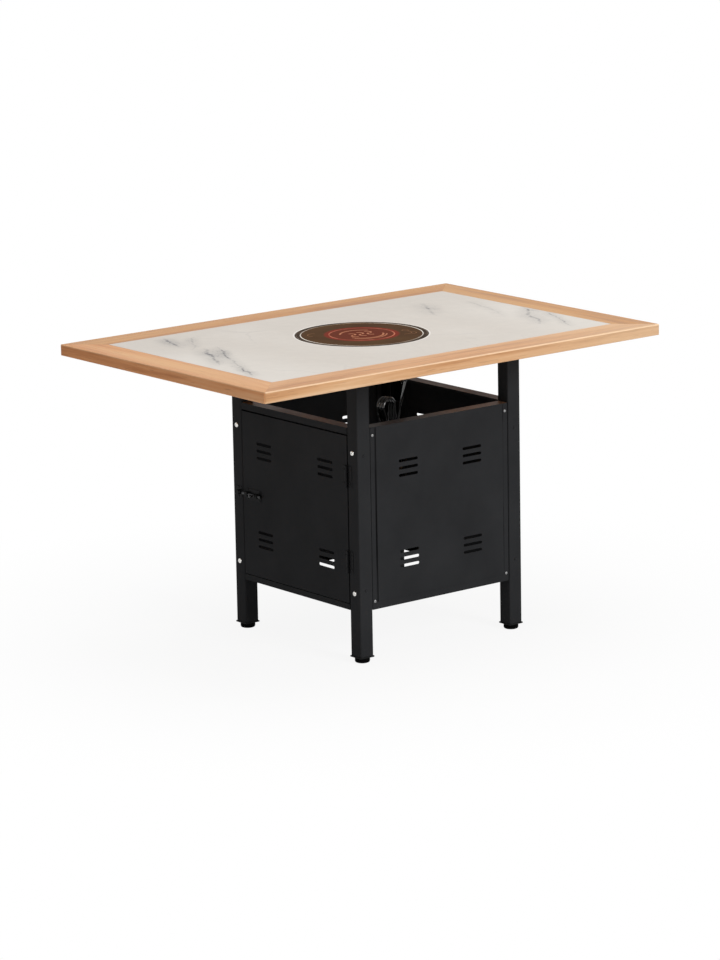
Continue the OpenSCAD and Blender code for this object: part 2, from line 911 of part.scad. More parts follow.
module panel(bay, spots) {
    half = bay / 2 - panel_seam;
    field = bay / 2 - band_w;
    field_low = cab_low + band_w;
    back = band_step + sheet;
    color(steel_black)
        difference() {
            union() {
                plate([-field, 0, field_low], [field, sheet, cab_high]);
                for (s = [-1, 1])
                    mirror([s > 0 ? 0 : 1, 0, 0]) {
                        plate([field - sheet, band_step, cab_low], [half, back, cab_high]);
                        plate([field - sheet, 0, field_low], [field, back, cab_high]);
                    }
                plate([-field, band_step, cab_low], [field, back, field_low + sheet]);
                plate([-field, 0, field_low], [field, back, field_low + sheet]);
                top_rim(half);
                plate([-half, band_step, cab_low], [half, band_step + foot_flange, cab_low + sheet]);
            }
            air_slots(spots);
            each_panel_screw(bay)
                cylinder(r = panel_screw_r + hole_gap, h = 8, center = true, $fn = 24);
        }
}

module front_panel() { front_side() panel(bay_x, [-group_front, group_front]); }
module back_panel() { back_side() panel(bay_x, [-group_far, group_front]); }
module right_panel() { right_side() panel(bay_y, [-group_side, group_side]); }

// Angle strips that carry a panel on its two legs
module angle_pair(bay, screw_z, screw_r) {
    back = band_step + sheet;
    low = cab_low + sheet + 0.3;
    high = cab_high - sheet - 0.3;
    difference() {
        for (s = [0, 1])
            mirror([s, 0, 0]) {
                plate([bay / 2 - angle_t, back, low], [bay / 2, angle_w, high]);
                plate([bay / 2 - band_w, back, low], [bay / 2, back + angle_t, high]);
            }
        for (z = screw_z)
            translate([0, leg_size / 2, z])
                rotate([0, 90, 0])
                    cylinder(r = screw_r + hole_gap, h = bay + 2, center = true, $fn = 32);
        each_panel_screw(bay)
            cylinder(r = panel_screw_r + run_gap, h = 20, center = true, $fn = 24);
    }
}

module panel_angles() {
    color(steel_black) {
        front_side() angle_pair(bay_x, leg_screw_z, leg_screw_r);
        back_side() angle_pair(bay_x, leg_screw_z, leg_screw_r);
        right_side() angle_pair(bay_y, frame_screw_z, frame_screw_r);
    }
}

module panel_screw_set(bay) {
    each_panel_screw(bay) {
        translate([0, 0, -panel_head_h])
            cylinder(r = panel_head_r, h = panel_head_h, $fn = 32);
        translate([0, 0, -eps])
            cylinder(r = panel_screw_r, h = 9, $fn = 24);
    }
}

module panel_screws() {
    color("darkgray") {
        front_side() panel_screw_set(bay_x);
        back_side() panel_screw_set(bay_x);
        right_side() panel_screw_set(bay_y);
    }
}

module leg_screws() {
    shank = leg_size + angle_t + nut_h + 2;
    color(plated)
        each_leg()
            each_leg_screw() {
                translate([0, 0, leg_size / 2])
                    cylinder(r = leg_head_r, h = leg_head_h);
                translate([0, 0, leg_size / 2 + eps - shank])
                    cylinder(r = leg_screw_r, h = shank, $fn = 32);
            }
}

module leg_nuts() {
    color(plated)
        each_leg()
            each_leg_screw()
                translate([0, 0, -leg_size / 2 - angle_t - nut_h])
                    difference() {
                        cylinder(d = nut_w / cos(30), h = nut_h, $fn = 6);
                        translate([0, 0, -1])
                            cylinder(r = leg_screw_r + run_gap, h = nut_h + 2, $fn = 32);
                    }
}

module frame_screws() {
    shank = leg_size + angle_t + 4;
    color("black")
        each_leg()
            each_frame_screw() {
                translate([0, 0, leg_size / 2])
                    cylinder(r = frame_head_r, h = frame_head_h, $fn = 32);
                translate([0, 0, leg_size / 2 + eps - shank])
                    cylinder(r = frame_screw_r, h = shank, $fn = 24);
            }
}

// Door and its frame
door_low = cab_low + rail_low + door_gap;
door_high = cab_high - rail_high - door_gap_top;
door_half = bay_y / 2 - door_gap;
stile_y = door_fold + 1.6;
stile_w = 16;
rail_fold = stile_y + sheet;

module door_frame() {
    half = bay_y / 2 - frame_seam;
    color(steel_black)
        door_side()
            difference() {
                union() {
                    top_rim(half);
                    plate([-half, 0, cab_high - rail_high], [half, sheet, cab_high]);
                    plate([-half, 0, cab_high - rail_high], [half, rail_fold, cab_high - rail_high + sheet]);
                    plate([-half, 0, cab_low], [half, sheet, cab_low + rail_low]);
                    plate([-half, 0, cab_low], [half, foot_flange, cab_low + sheet]);
                    plate([-half, 0, cab_low + rail_low - sheet], [half, rail_fold, cab_low + rail_low]);
                    for (s = [0, 1])
                        mirror([s, 0, 0]) {
                            plate([half - stile_w, stile_y, cab_low], [half, stile_y + sheet, cab_high - sheet]);
                            plate([half - sheet, stile_y, cab_low], [half, angle_w, cab_high - sheet]);
                        }
                }
                for (z = frame_screw_z)
                    translate([0, leg_size / 2, z])
                        rotate([0, 90, 0])
                            cylinder(r = frame_screw_r + hole_gap, h = bay_y + 2, center = true, $fn = 24);
            }
}

module door() {
    h = door_half;
    color(steel_black)
        door_side()
            difference() {
                union() {
                    plate([-h, 0, door_low], [h, sheet, door_high]);
                    for (s = [0, 1])
                        mirror([s, 0, 0])
                            plate([h - sheet, 0, door_low], [h, door_fold, door_high]);
                    plate([-h, 0, door_low], [h, door_fold, door_low + sheet]);
                    plate([-h, 0, door_high - sheet], [h, door_fold, door_high]);
                }
                air_slots([-group_side, group_side]);
                each_hinge()
                    door_rivet_spots()
                        rivet_hole();
                latch_rivet_spots()
                    rivet_hole();
            }
}

// Hinges, standing on the door's side with the pin at X = hinge_x
hinge_x = bay_y / 2 - door_gap / 2;
hinge_y = -knuckle_r - 0.2;
knuckle_gap = 0.3;
leaf_clear = 0.5;
rivet_r = 1.5;
rivet_head_r = 2.8;
rivet_head_h = 1.2;
rivet_in = 11;
rivet_rise = 32;

module at_hinge(s) {
    translate([hinge_x, 0, cab_mid + s * hinge_rise / 2])
        children();
}

module each_hinge() {
    for (s = [-1, 1])
        at_hinge(s)
            children();
}

module rivet_hole() {
    rotate([-90, 0, 0])
        cylinder(r = rivet_r + 0.1, h = 12, center = true, $fn = 24);
}

module rivet() {
    rotate([-90, 0, 0]) {
        translate([0, 0, -leaf_t - rivet_head_h])
            cylinder(r1 = rivet_head_r - 0.8, r2 = rivet_head_r, h = rivet_head_h, $fn = 32);
        translate([0, 0, -leaf_t - eps])
            cylinder(r = rivet_r, h = leaf_t + sheet + 1.5, $fn = 24);
    }
}

module frame_rivet_spots() {
    for (s = [-1, 1])
        translate([rivet_in, 0, s * rivet_rise / 2])
            children();
}

module door_rivet_spots() {
    for (s = [-1, 1])
        translate([-rivet_in, 0, s * rivet_rise / 2])
            children();
}

// A leaf to the +X side of the pin; rows are the thirds of its length that carry its knuckles
module leaf(rows) {
    third = hinge_l / 3;
    difference() {
        union() {
            difference() {
                plate([0, -leaf_t, -hinge_l / 2], [leaf_w, 0, hinge_l / 2]);
                for (i = [-1:1])
                    if (len(search(i, rows)) == 0)
                        translate([-1, -leaf_t - 1, i * third - third / 2 - knuckle_gap / 2])
                            cube([1 + knuckle_r + leaf_clear, leaf_t + 2, third + knuckle_gap]);
            }
            for (i = rows)
                translate([0, hinge_y, i * third - third / 2 + knuckle_gap / 2])
                    cylinder(r = knuckle_r, h = third - knuckle_gap, $fn = 32);
        }
        translate([0, hinge_y, -hinge_l / 2 - 1])
            cylinder(r = pin_r + run_gap, h = hinge_l + 2, $fn = 32);
        for (s = [-1, 1])
            translate([rivet_in, 0, s * rivet_rise / 2])
                rivet_hole();
    }
}

module frame_leaf(s) {
    color("#26272a")
        door_side()
            at_hinge(s)
                leaf([-1, 1]);
}

module door_leaf(s) {
    color("#26272a")
        door_side()
            at_hinge(s)
                mirror([1, 0, 0])
                    leaf([0]);
}

module pin(s) {
    color("dimgray")
        door_side()
            at_hinge(s)
                translate([0, hinge_y, -hinge_l / 2 - 0.5]) {
                    cylinder(r = pin_r, h = hinge_l + 1, $fn = 32);
                    translate([0, 0, hinge_l + 0.5 + 0.3])
                        cylinder(r = pin_r + 0.8, h = 1, $fn = 32);
                }
}

module upper_frame_leaf() { frame_leaf(1); }
module upper_door_leaf() { door_leaf(1); }
module upper_pin() { pin(1); }
module lower_frame_leaf() { frame_leaf(-1); }
module lower_door_leaf() { door_leaf(-1); }
module lower_pin() { pin(-1); }

// Tower bolt on the door, opposite the hinges; it slides towards -X into its keeper on the leg
latch_z = cab_mid - 2.5;
latch_end = -bay_y / 2 + 16;
guide_w = 10;
guide_h = 10;
bolt_y = -leaf_t - bolt_r - 1;
bolt_tip = -bay_y / 2 + 3;
knob_room = 6;
tip_to_plate = latch_end - bolt_tip;
knob_from_tip = tip_to_plate + guide_w + bolt_travel + knob_room;
second_guide = guide_w + bolt_travel + 2 * knob_room;
bolt_l = tip_to_plate + second_guide + bolt_travel + knob_room;
keeper_from_edge = 4;
keeper_l = 24;
keeper_guide = 8;
latch_rivet_in = 5;
latch_rivet_rise = 22;

module bolt_guide(x, bore) {
    difference() {
        translate([x, bolt_y - bolt_r - 1.4, latch_z - guide_h / 2])
            cube([guide_w, bolt_r + 1.4 - bolt_y - leaf_t + eps, guide_h]);
        translate([x - 1, bolt_y, latch_z])
            rotate([0, 90, 0])
                cylinder(r = bore, h = guide_w + 2, $fn = 32);
    }
}

module latch_rivet_spots() {
    for (x = [latch_end + latch_rivet_in, latch_end + latch_l - latch_rivet_in], s = [-1, 1])
        translate([x, 0, latch_z + s * latch_rivet_rise / 2])
            children();
}

module keeper_rivet_spots() {
    for (s = [-1, 1])
        translate([-bay_y / 2 - keeper_from_edge - keeper_l / 2, 0, latch_z + s * latch_rivet_rise / 2])
            children();
}

module latch_body() {
    color("#303236")
        door_side() {
            difference() {
                plate([latch_end, -leaf_t, latch_z - latch_h / 2],
                    [latch_end + latch_l, 0, latch_z + latch_h / 2]);
                latch_rivet_spots()
                    rivet_hole();
            }
            bolt_guide(latch_end, bolt_r + run_gap);
            bolt_guide(latch_end + second_guide, bolt_r + run_gap);
        }
}

module latch_bolt() {
    color("gray")
        door_side() {
            translate([bolt_tip, bolt_y, latch_z])
                rotate([0, 90, 0]) {
                    translate([0, 0, 1])
                        cylinder(r = bolt_r, h = bolt_l - 1, $fn = 32);
                    cylinder(r1 = bolt_r - 0.8, r2 = bolt_r, h = 1, $fn = 32);
                }
            translate([bolt_tip + knob_from_tip, bolt_y, latch_z])
                rotate([90, 0, 0]) {
                    cylinder(r = 2, h = 9, $fn = 24);
                    translate([0, 0, 11])
                        sphere(r = 4.2, $fn = 32);
                }
        }
}

module latch_keeper() {
    x = -bay_y / 2 - keeper_from_edge;
    color("#303236")
        door_side() {
            difference() {
                plate([x - keeper_l, -leaf_t, latch_z - latch_h / 2], [x, 0, latch_z + latch_h / 2]);
                keeper_rivet_spots()
                    rivet_hole();
            }
            bolt_guide(x - keeper_guide - guide_w / 2, bolt_r + 0.3);
        }
}

module door_rivets() {
    color("dimgray")
        door_side() {
            each_hinge()
                door_rivet_spots()
                    rivet();
            latch_rivet_spots()
                rivet();
        }
}

module frame_rivets() {
    color("dimgray")
        door_side() {
            each_hinge()
                frame_rivet_spots()
                    rivet();
            keeper_rivet_spots()
                rivet();
        }
}

edge_front();
edge_back();
edge_left();
edge_right();
stone_slab();
core_board();
hob_trim_ring();
hob_bezel();
hob_glass();
hob_housing();
hob_coil();
coil_carrier();
ferrite_bars();
power_board();
heat_sink();
fan_frame();
fan_rotor();
fan_guard();
hob_screws();
cord_gland();
cord_lead();
cord_hank();
cord_tail();
cord_tie();
plug_body();
plug_pins();
leg_near();
leg_left();
leg_right();
leg_far();
top_screws();
cap_near();
cap_left();
cap_right();
cap_far();
foot_near();
foot_left();
foot_right();
foot_far();
front_panel();
back_panel();
right_panel();
door_frame();
leg_screws();
leg_nuts();
frame_screws();
panel_screws();
door();
upper_frame_leaf();
upper_door_leaf();
upper_pin();
lower_frame_leaf();
lower_door_leaf();
lower_pin();
latch_body();
latch_bolt();
latch_keeper();
door_rivets();
frame_rivets();
panel_angles();
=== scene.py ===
"""Looks of the hotpot table: materials, softened edges, cord, screws, light and camera."""

import json
import math

import bmesh
import bpy
from mathutils import Matrix, Vector

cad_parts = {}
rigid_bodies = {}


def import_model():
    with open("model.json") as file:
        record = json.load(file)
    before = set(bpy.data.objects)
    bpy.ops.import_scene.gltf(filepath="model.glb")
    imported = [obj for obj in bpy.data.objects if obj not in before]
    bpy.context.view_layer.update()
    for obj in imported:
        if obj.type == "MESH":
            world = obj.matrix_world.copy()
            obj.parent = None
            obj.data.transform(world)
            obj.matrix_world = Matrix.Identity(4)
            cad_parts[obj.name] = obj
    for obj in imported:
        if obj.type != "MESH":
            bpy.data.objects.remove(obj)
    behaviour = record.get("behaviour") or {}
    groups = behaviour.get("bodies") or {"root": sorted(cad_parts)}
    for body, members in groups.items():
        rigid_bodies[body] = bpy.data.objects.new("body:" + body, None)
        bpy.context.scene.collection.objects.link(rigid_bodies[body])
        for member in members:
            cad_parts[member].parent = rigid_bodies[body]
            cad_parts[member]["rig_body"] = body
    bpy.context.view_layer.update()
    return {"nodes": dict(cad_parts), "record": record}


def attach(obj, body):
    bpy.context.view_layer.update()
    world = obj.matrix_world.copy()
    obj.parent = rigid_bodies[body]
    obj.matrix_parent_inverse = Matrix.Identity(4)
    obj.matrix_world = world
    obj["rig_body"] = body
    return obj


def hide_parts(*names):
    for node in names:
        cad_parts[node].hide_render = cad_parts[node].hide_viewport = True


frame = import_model()
NODES = frame["nodes"]
SLOTS = {s["node"]: s["material_slot"] for s in frame["record"]["subparts"]}
MM = 0.001


def body_of(node):
    return NODES[node]["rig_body"]


# ---------------------------------------------------------------- camera
# Fitted to the photograph: place in metres, angles in degrees, focal length in photo pixels, sensor in mm
CAM_AT = Vector((-6.0161, -7.5125, 2.5366))
CAM_YAW, CAM_PITCH, CAM_ROLL = 38.626, 12.664, -1.041
CAM_FOCAL_PX, PHOTO_H, SENSOR = 4087.83, 960, 36


def make_camera():
    yaw, pitch, roll = (math.radians(a) for a in (CAM_YAW, CAM_PITCH, CAM_ROLL))
    fwd = Vector((math.sin(yaw) * math.cos(pitch), math.cos(yaw) * math.cos(pitch), -math.sin(pitch)))
    right = Vector((math.cos(yaw), -math.sin(yaw), 0))
    up = right.cross(fwd)
    r = right * math.cos(roll) + up * math.sin(roll)
    u = up * math.cos(roll) - right * math.sin(roll)
    data = bpy.data.cameras.new("camera")
    data.sensor_width = SENSOR
    data.sensor_fit = "AUTO"
    data.lens = CAM_FOCAL_PX * SENSOR / PHOTO_H
    data.clip_end = 60
    cam = bpy.data.objects.new("camera", data)
    cam.matrix_world = Matrix.Translation(CAM_AT) @ Matrix((r, u, -fwd)).transposed().to_4x4()
    bpy.context.scene.collection.objects.link(cam)
    bpy.context.scene.camera = cam


make_camera()


# ---------------------------------------------------------------- shader building
class Nodes:
    """A node tree that is written as small expressions."""

    def __init__(self, tree):
        self.tree = tree

    def node(self, kind, ins=(), **props):
        n = self.tree.nodes.new("ShaderNode" + kind)
        for k, v in props.items():
            setattr(n, k, v)
        for i, v in (ins.items() if isinstance(ins, dict) else enumerate(ins)):
            self.feed(n.inputs[i], v)
        return n

    def feed(self, socket, v):
        if isinstance(v, bpy.types.NodeSocket):
            self.tree.links.new(v, socket)
        elif v is not None:
            socket.default_value = v

    def math(self, op, a, b=None, clamp=False):
        return self.node("Math", [a, b], operation=op, use_clamp=clamp).outputs[0]

    def times(self, first, *rest):
        for v in rest:
            first = self.math("MULTIPLY", first, v)
        return first

    def apart(self, a, b):
        """The distance between two values."""
        return self.math("ABSOLUTE", self.math("SUBTRACT", a, b))

    def looked_at(self):
        """1 for the camera's rays, also by a reflection or through glass, 0 for rays that carry light."""
        seen = self.node("LightPath").outputs
        return self.math("MAXIMUM", seen["Is Camera Ray"],
                         self.math("MAXIMUM", seen["Is Glossy Ray"], seen["Is Transmission Ray"]))

    def step(self, v, lo, hi, a=0.0, b=1.0):
        """v taken smoothly from lo..hi to a..b."""
        n = self.node("MapRange", [v, lo, hi, a, b], interpolation_type="SMOOTHSTEP")
        return n.outputs[0]


class Shader(Nodes):
    """A material, with the frame's own coordinates as its place."""

    def __init__(self, name):
        self.mat = bpy.data.materials.new(name)
        self.mat.use_nodes = True
        super().__init__(self.mat.node_tree)
        self.out = self.tree.nodes["Principled BSDF"]
        self.place = self.node("TexCoord").outputs["Object"]

    def vec(self, op, a, b=None):
        n = self.node("VectorMath", [a, b], operation=op)
        return n.outputs["Value" if op in ("LENGTH", "DISTANCE", "DOT_PRODUCT") else "Vector"]

    def flat(self, x, y):
        return self.node("CombineXYZ", [x, y, 0.0]).outputs[0]

    def radius(self, x, y):
        return self.vec("LENGTH", self.flat(x, y))

    def scaled(self, scale, src=None, turn=(0, 0, 0)):
        n = self.node("Mapping", {"Vector": src or self.place, "Scale": scale, "Rotation": turn})
        return n.outputs[0]

    def xyz(self, src=None):
        n = self.node("SeparateXYZ", [src or self.place])
        return n.outputs

    def noise(self, vec, scale=1.0, detail=4.0, rough=0.5, bend=0.0, colour=False):
        n = self.node("TexNoise", {"Vector": vec, "Scale": scale, "Detail": detail, "Roughness": rough,
                                   "Distortion": bend})
        return n.outputs["Color" if colour else 0]

    def cells(self, vec, scale=1.0, feature="F1"):
        return self.node("TexVoronoi", {"Vector": vec, "Scale": scale}, feature=feature).outputs["Distance"]

    def spread(self, noise, a, b):
        """A noise's usual range taken to a..b."""
        return self.step(noise, 0.3, 0.7, a, b)

    def ramp(self, v, stops):
        n = self.node("ValToRGB", [v])
        e = n.color_ramp.elements
        while len(e) < len(stops):
            e.new(0.5)
        for item, (at, col) in zip(e, stops):
            item.position = at
            item.color = (*col, 1)
        return n.outputs[0]

    def mix(self, fac, a, b, blend="MIX"):
        n = self.node("Mix", data_type="RGBA", blend_type=blend)
        for i, v in ((0, fac), (6, a), (7, b)):
            self.feed(n.inputs[i], (*v, 1) if isinstance(v, tuple) else v)
        return n.outputs[2]

    def bump(self, height, depth, strength):
        """depth is in metres."""
        return self.node("Bump", {"Height": height, "Distance": depth, "Strength": strength}).outputs[0]

    def done(self, **sockets):
        """Sets the shader's sockets, named with underscores, and gives the material."""
        for k, v in sockets.items():
            name = k.replace("_", " ")
            self.feed(self.out.inputs[name], (*v, 1) if isinstance(v, tuple) and len(v) == 3 else v)
        return self.mat


def rgb(*v):
    """sRGB 0..255 to linear."""
    return tuple((c / 255 / 12.92) if c <= 10 else ((c / 255 + 0.055) / 1.055) ** 2.4 for c in v)


# ---------------------------------------------------------------- materials
# Half length, half width and height of the top
TOP_X, TOP_Y, TOP_Z = 0.600, 0.400, 0.732
# How far in and down from its edge the painted highlight along the arris is full, and where it has faded
ARRIS, ARRIS_FADED = 2 * MM, 3.4 * MM


def oak(name, along_x, dark, middle, light, paler_towards_x=0.0, side=(1, 1, 1), painted_light_strength=0.6):
    """Pale oak strip with the grain along it, from three sRGB tones.

    The three keyword arguments make it paler towards +X, paint light and shade on its upright faces, and paint
    a highlight along its upper arris.
    """
    s = Shader(name)
    base = s.scaled((1, 1, 1), turn=(0, 0, 0) if along_x else (0, 0, math.pi / 2))
    wander = s.noise(s.scaled((1.3, 5, 5), base), 1, 3, 0.5)
    bent = s.vec("ADD", base, s.flat(0.0, s.times(wander, 0.05)))
    streak = s.noise(s.scaled((2.4, 70, 70), bent), 1, 6, 0.62)
    broad = s.noise(s.scaled((0.9, 16, 16), bent), 1, 3, 0.5)
    fine = s.noise(s.scaled((14, 420, 420), bent), 1, 2, 0.5)
    tone = s.math("ADD", s.times(streak, 0.55), s.times(broad, 0.45))
    col = s.ramp(tone, [(0.36, rgb(*dark)), (0.48, rgb(*middle)), (0.62, rgb(*light))])
    pores = s.step(fine, 0.60, 0.70)
    col = s.mix(s.times(pores, 0.42), col, rgb(146, 97, 62))
    spots = s.noise(s.scaled((3, 3, 3)), 1, 2, 0.5)
    col = s.mix(s.step(spots, 0.35, 0.65, 0.0, 0.14), col, rgb(205, 150, 110))
    x, y, z = s.xyz()
    # The grain grows paler towards +X, by the amount given
    col = s.mix(s.step(x, -0.05, TOP_X, 0.0, paler_towards_x), col, rgb(240, 206, 166))
    # Painted light and shade: the upright faces below the top take their own tint
    upright = s.step(z, TOP_Z - ARRIS, TOP_Z - 3 * MM)
    col = s.mix(upright, col, s.mix(1.0, col, side, "MULTIPLY"))
    out = s.math("MAXIMUM", s.math("SUBTRACT", s.math("ABSOLUTE", x), TOP_X),
                 s.math("SUBTRACT", s.math("ABSOLUTE", y), TOP_Y))
    # Painted highlight: the upper arris turns paler, by the strength given
    arris = s.times(s.step(out, -ARRIS_FADED, -ARRIS), s.step(z, TOP_Z - ARRIS_FADED, TOP_Z - ARRIS), painted_light_strength)
    col = s.mix(arris, col, rgb(252, 226, 192))
    rough = s.spread(streak, 0.34, 0.46)
    height = s.math("SUBTRACT", streak, s.times(pores, 0.6))
    return s.done(Base_Color=col, Roughness=rough, IOR=1.18, Normal=s.bump(height, 0.00012, 0.5))


# Veins of the slab: start and end in mm on the slab, half width in mm, strength
VEINS = [
    (-376, 289, -423, 164, 5, 0.75), (-386, 111, -482, -76, 5, 1.0), (-353, 113, -502, -234, 3, 0.7),
    (-316, 255, -415, 122, 3, 0.6), (514, 4, 391, -201, 5, 0.8), (514, -77, 424, -274, 3, 0.8),
    (363, 217, 285, 56, 6, 0.6), (157, -209, 152, -243, 3, 0.45), (470, 160, 400, -60, 3, 0.45),
]
# Reach of a vein's core, grit and halo in half widths of the vein, and the halo's strength
CORE, GRIT, HALO, HALO_FORCE = 1.3, 7, 9, 0.42
# Radii at which the painted highlight round the slab's hole is full, and has faded
HOLE_GLINT_R, HOLE_GLINT_FADED_R = 163.0 * MM, 166.5 * MM


def marble():
    """White slab with soft clouds, broken grey veins with grit beside them, a faint web between, and a painted
    highlight round its hole.
    """
    s = Shader("marble_slab")
    px, py, _ = s.xyz()
    warp = s.noise(s.scaled((9, 9, 9)), 1, 4, 0.55, colour=True)
    shift = s.vec("MULTIPLY", s.vec("SUBTRACT", warp, (0.5, 0.5, 0.5)), (0.05, 0.05, 0))
    small = s.noise(s.scaled((60, 60, 60)), 1, 3, 0.6, colour=True)
    jitter = s.vec("MULTIPLY", s.vec("SUBTRACT", small, (0.5, 0.5, 0.5)), (0.012, 0.012, 0))
    at = s.vec("ADD", s.vec("ADD", s.place, shift), jitter)
    x, y, _ = s.xyz(at)
    cloud = s.noise(s.scaled((3.2, 2.2, 3), turn=(0, 0, 0.6)), 1, 5, 0.6, 0.4)
    col = s.ramp(cloud, [(0.30, rgb(209, 200, 189)), (0.52, rgb(214, 205, 194)), (0.75, rgb(221, 213, 203))])
    pale = s.times(s.step(s.math("ABSOLUTE", px), 0.25, 0.5, 0.0, 0.5), s.step(py, 0.20, 0.0))
    col = s.mix(pale, col, rgb(236, 230, 221))
    patch = s.step(s.noise(s.scaled((11, 5, 5), turn=(0, 0, 0.5)), 1, 4, 0.6), 0.46, 0.62)
    grains = s.step(s.noise(s.scaled((210, 120, 120), turn=(0, 0, 0.5)), 1, 5, 0.75), 0.56, 0.62)
    broken = s.step(s.noise(s.scaled((55, 55, 55)), 1, 3, 0.6), 0.40, 0.58, 0.35, 1.0)
    for x0, y0, x1, y1, half, force in VEINS:
        a, b = Vector((x0, y0)) * MM, Vector((x1, y1)) * MM
        run = b - a
        to = run.normalized()
        dx, dy = s.math("SUBTRACT", x, a.x), s.math("SUBTRACT", y, a.y)
        along = s.math("ADD", s.times(dx, to.x), s.times(dy, to.y))
        off = s.apart(s.times(dx, to.y), s.times(dy, to.x))
        core = s.times(s.step(off, half * CORE * MM, 0.2 * MM), broken)
        halo = s.times(s.step(off, half * HALO * MM, 0.0), HALO_FORCE)
        grit = s.times(s.step(off, half * GRIT * MM, half * 2 * MM), grains)
        ends = s.times(s.step(along, -0.02, 0.05), s.step(along, run.length + 0.02, run.length - 0.06))
        vein = s.times(s.math("MAXIMUM", s.math("ADD", core, halo), grit), ends, force)
        vein = s.math("MULTIPLY", vein, s.step(patch, 0, 1, 0.55, 1.15), clamp=True)
        col = s.mix(vein, col, rgb(104, 101, 102))
    web = s.cells(s.scaled((5.5, 3, 4), at, turn=(0, 0, 0.55)), 1, "DISTANCE_TO_EDGE")
    faint = s.times(s.step(web, 0.022, 0.0), s.step(cloud, 0.45, 0.7, 0.0, 0.22))
    col = s.mix(faint, col, rgb(168, 162, 158))
    # Painted highlight: a near-white ring round the slab's hole
    cut = s.step(s.radius(px, py), HOLE_GLINT_FADED_R, HOLE_GLINT_R, 0.0, 0.8)
    col = s.mix(cut, col, rgb(250, 244, 236))
    rough = s.spread(s.noise(s.scaled((40, 40, 40)), 1, 3), 0.16, 0.24)
    return s.done(Base_Color=col, Roughness=rough, IOR=1.13)


# Middle of the base along X, and where the cabinet's sheets meet the legs, from the middle
BASE_X, SEAM_X, SEAM_Y = 0.038, 0.2130, 0.2040
# Where the front and back panels step back to their side bands, from the middle
BAND_X = 0.1950
# Lower and upper edge of the cabinet, inner edge of its front rim, and the height from which level faces under
# the rim get painted shade
CAB_LOW, CAB_HIGH, FRONT_RIM_Y, SEAM_SHADE_FROM = 0.126, 0.565, -0.209, 0.300


def steel(name, tone, rough=(0.32, 0.42), grain=0.00003, ior=1.07):
    """Powder-coated steel: orange peel, rubbed tone, a painted warm reflection of the wooden top on the upper
    rims, and painted shade on faces in the seams and in the bands' inner corners.
    """
    s = Shader(name)
    x, y, z = s.xyz()
    nx, ny, nz = s.xyz(s.node("NewGeometry").outputs["True Normal"])
    level = s.step(nz, 0.80, 0.95)
    across_x, across_y = (s.step(s.math("ABSOLUTE", n), 0.80, 0.95) for n in (nx, ny))
    rim = s.times(level, s.step(z, CAB_HIGH - 3 * MM, CAB_HIGH - MM))
    # Painted shade: level faces under the rim, side faces in the gaps at the legs, and the bands' inner corners
    # next to the fields are darkened nearly to black
    under_rim = s.step(z, CAB_HIGH - MM, CAB_HIGH - 3 * MM)
    seam_shade = s.times(level, s.step(z, SEAM_SHADE_FROM, SEAM_SHADE_FROM + 20 * MM), under_rim)
    high = s.times(s.step(z, CAB_LOW + 5 * MM, CAB_LOW + 7 * MM), s.step(z, CAB_HIGH + MM, CAB_HIGH - MM))
    from_middle = s.apart(x, BASE_X)
    for across, reach, line in ((across_x, from_middle, SEAM_X), (across_y, s.math("ABSOLUTE", y), SEAM_Y)):
        near = s.step(s.apart(reach, line), 4.0 * MM, 3.4 * MM)
        seam_shade = s.math("MAXIMUM", seam_shade, s.times(across, near, high))
    inward = s.math("SUBTRACT", from_middle, BAND_X)
    corner_shade = s.times(s.step(inward, 0.0, 0.1 * MM), s.step(inward, 4.2 * MM, 2.6 * MM))
    tall = s.times(s.step(z, CAB_LOW + 17 * MM, CAB_LOW + 20 * MM),
                   s.step(z, CAB_HIGH - 2 * MM, CAB_HIGH - 4 * MM))
    painted_light_strength = s.step(s.noise(s.scaled((30, 30, 7)), 1, 2, 0.5), 0.35, 0.6, 0.35, 1.0)
    seam_shade = s.math("MAXIMUM", seam_shade, s.times(corner_shade, tall, across_y, painted_light_strength))
    peel = s.noise(s.place, 900, 3, 0.55)
    broad = s.noise(s.place, 7, 4, 0.55)
    col = s.ramp(broad, [(0.3, tuple(c * 0.90 for c in tone)), (0.7, tuple(c * 1.14 + 0.0008 for c in tone))])
    dust = s.step(s.noise(s.place, 160, 4, 0.7), 0.62, 0.8, 0.0, 0.10)
    col = s.mix(dust, col, tuple(min(1, c * 2.2 + 0.01) for c in tone))
    # Painted reflection of the wooden top: a warm brown on the upper rims, full behind the front rim's inner
    # edge and growing towards +X on it
    kept = s.math("MAXIMUM", s.step(y, FRONT_RIM_Y, FRONT_RIM_Y + 4 * MM), s.step(x, -0.02, 0.12, 0.15, 0.85))
    rim_reflection = s.times(rim, s.spread(s.noise(s.place, 24, 4, 0.6), 0.6, 1.0), kept)
    col = s.mix(rim_reflection, col, rgb(114, 83, 61))
    col = s.mix(s.times(seam_shade, 0.8), col, (0.0012, 0.0012, 0.0012))
    coat = s.math("ADD", s.spread(broad, *rough), s.times(dust, 0.5))
    return s.done(Base_Color=col, Roughness=s.math("MAXIMUM", coat, seam_shade), IOR=ior,
                  Normal=s.bump(peel, grain, 0.6))


def bright_metal(name, tone, rough=0.22, brushed=(1, 1, 1)):
    """Bare metal with faint stains; brushed stretches its fine lines along the axis with the small number."""
    s = Shader(name)
    lines = s.noise(s.scaled(tuple(260 * b for b in brushed)), 1, 4, 0.6)
    stain = s.noise(s.place, 35, 3, 0.5)
    col = s.ramp(stain, [(0.3, tuple(c * 0.86 for c in tone)), (0.7, tone)])
    varied = s.spread(lines, rough * 0.8, rough * 1.4)
    return s.done(Base_Color=col, Metallic=1.0, Roughness=varied, Normal=s.bump(lines, 0.00002, 0.5))


# How near the X axis the painted highlight on the hob's two rings begins, and is at its brightest (cosine)
GLINT_FROM, GLINT_FULL = 0.62, 0.95
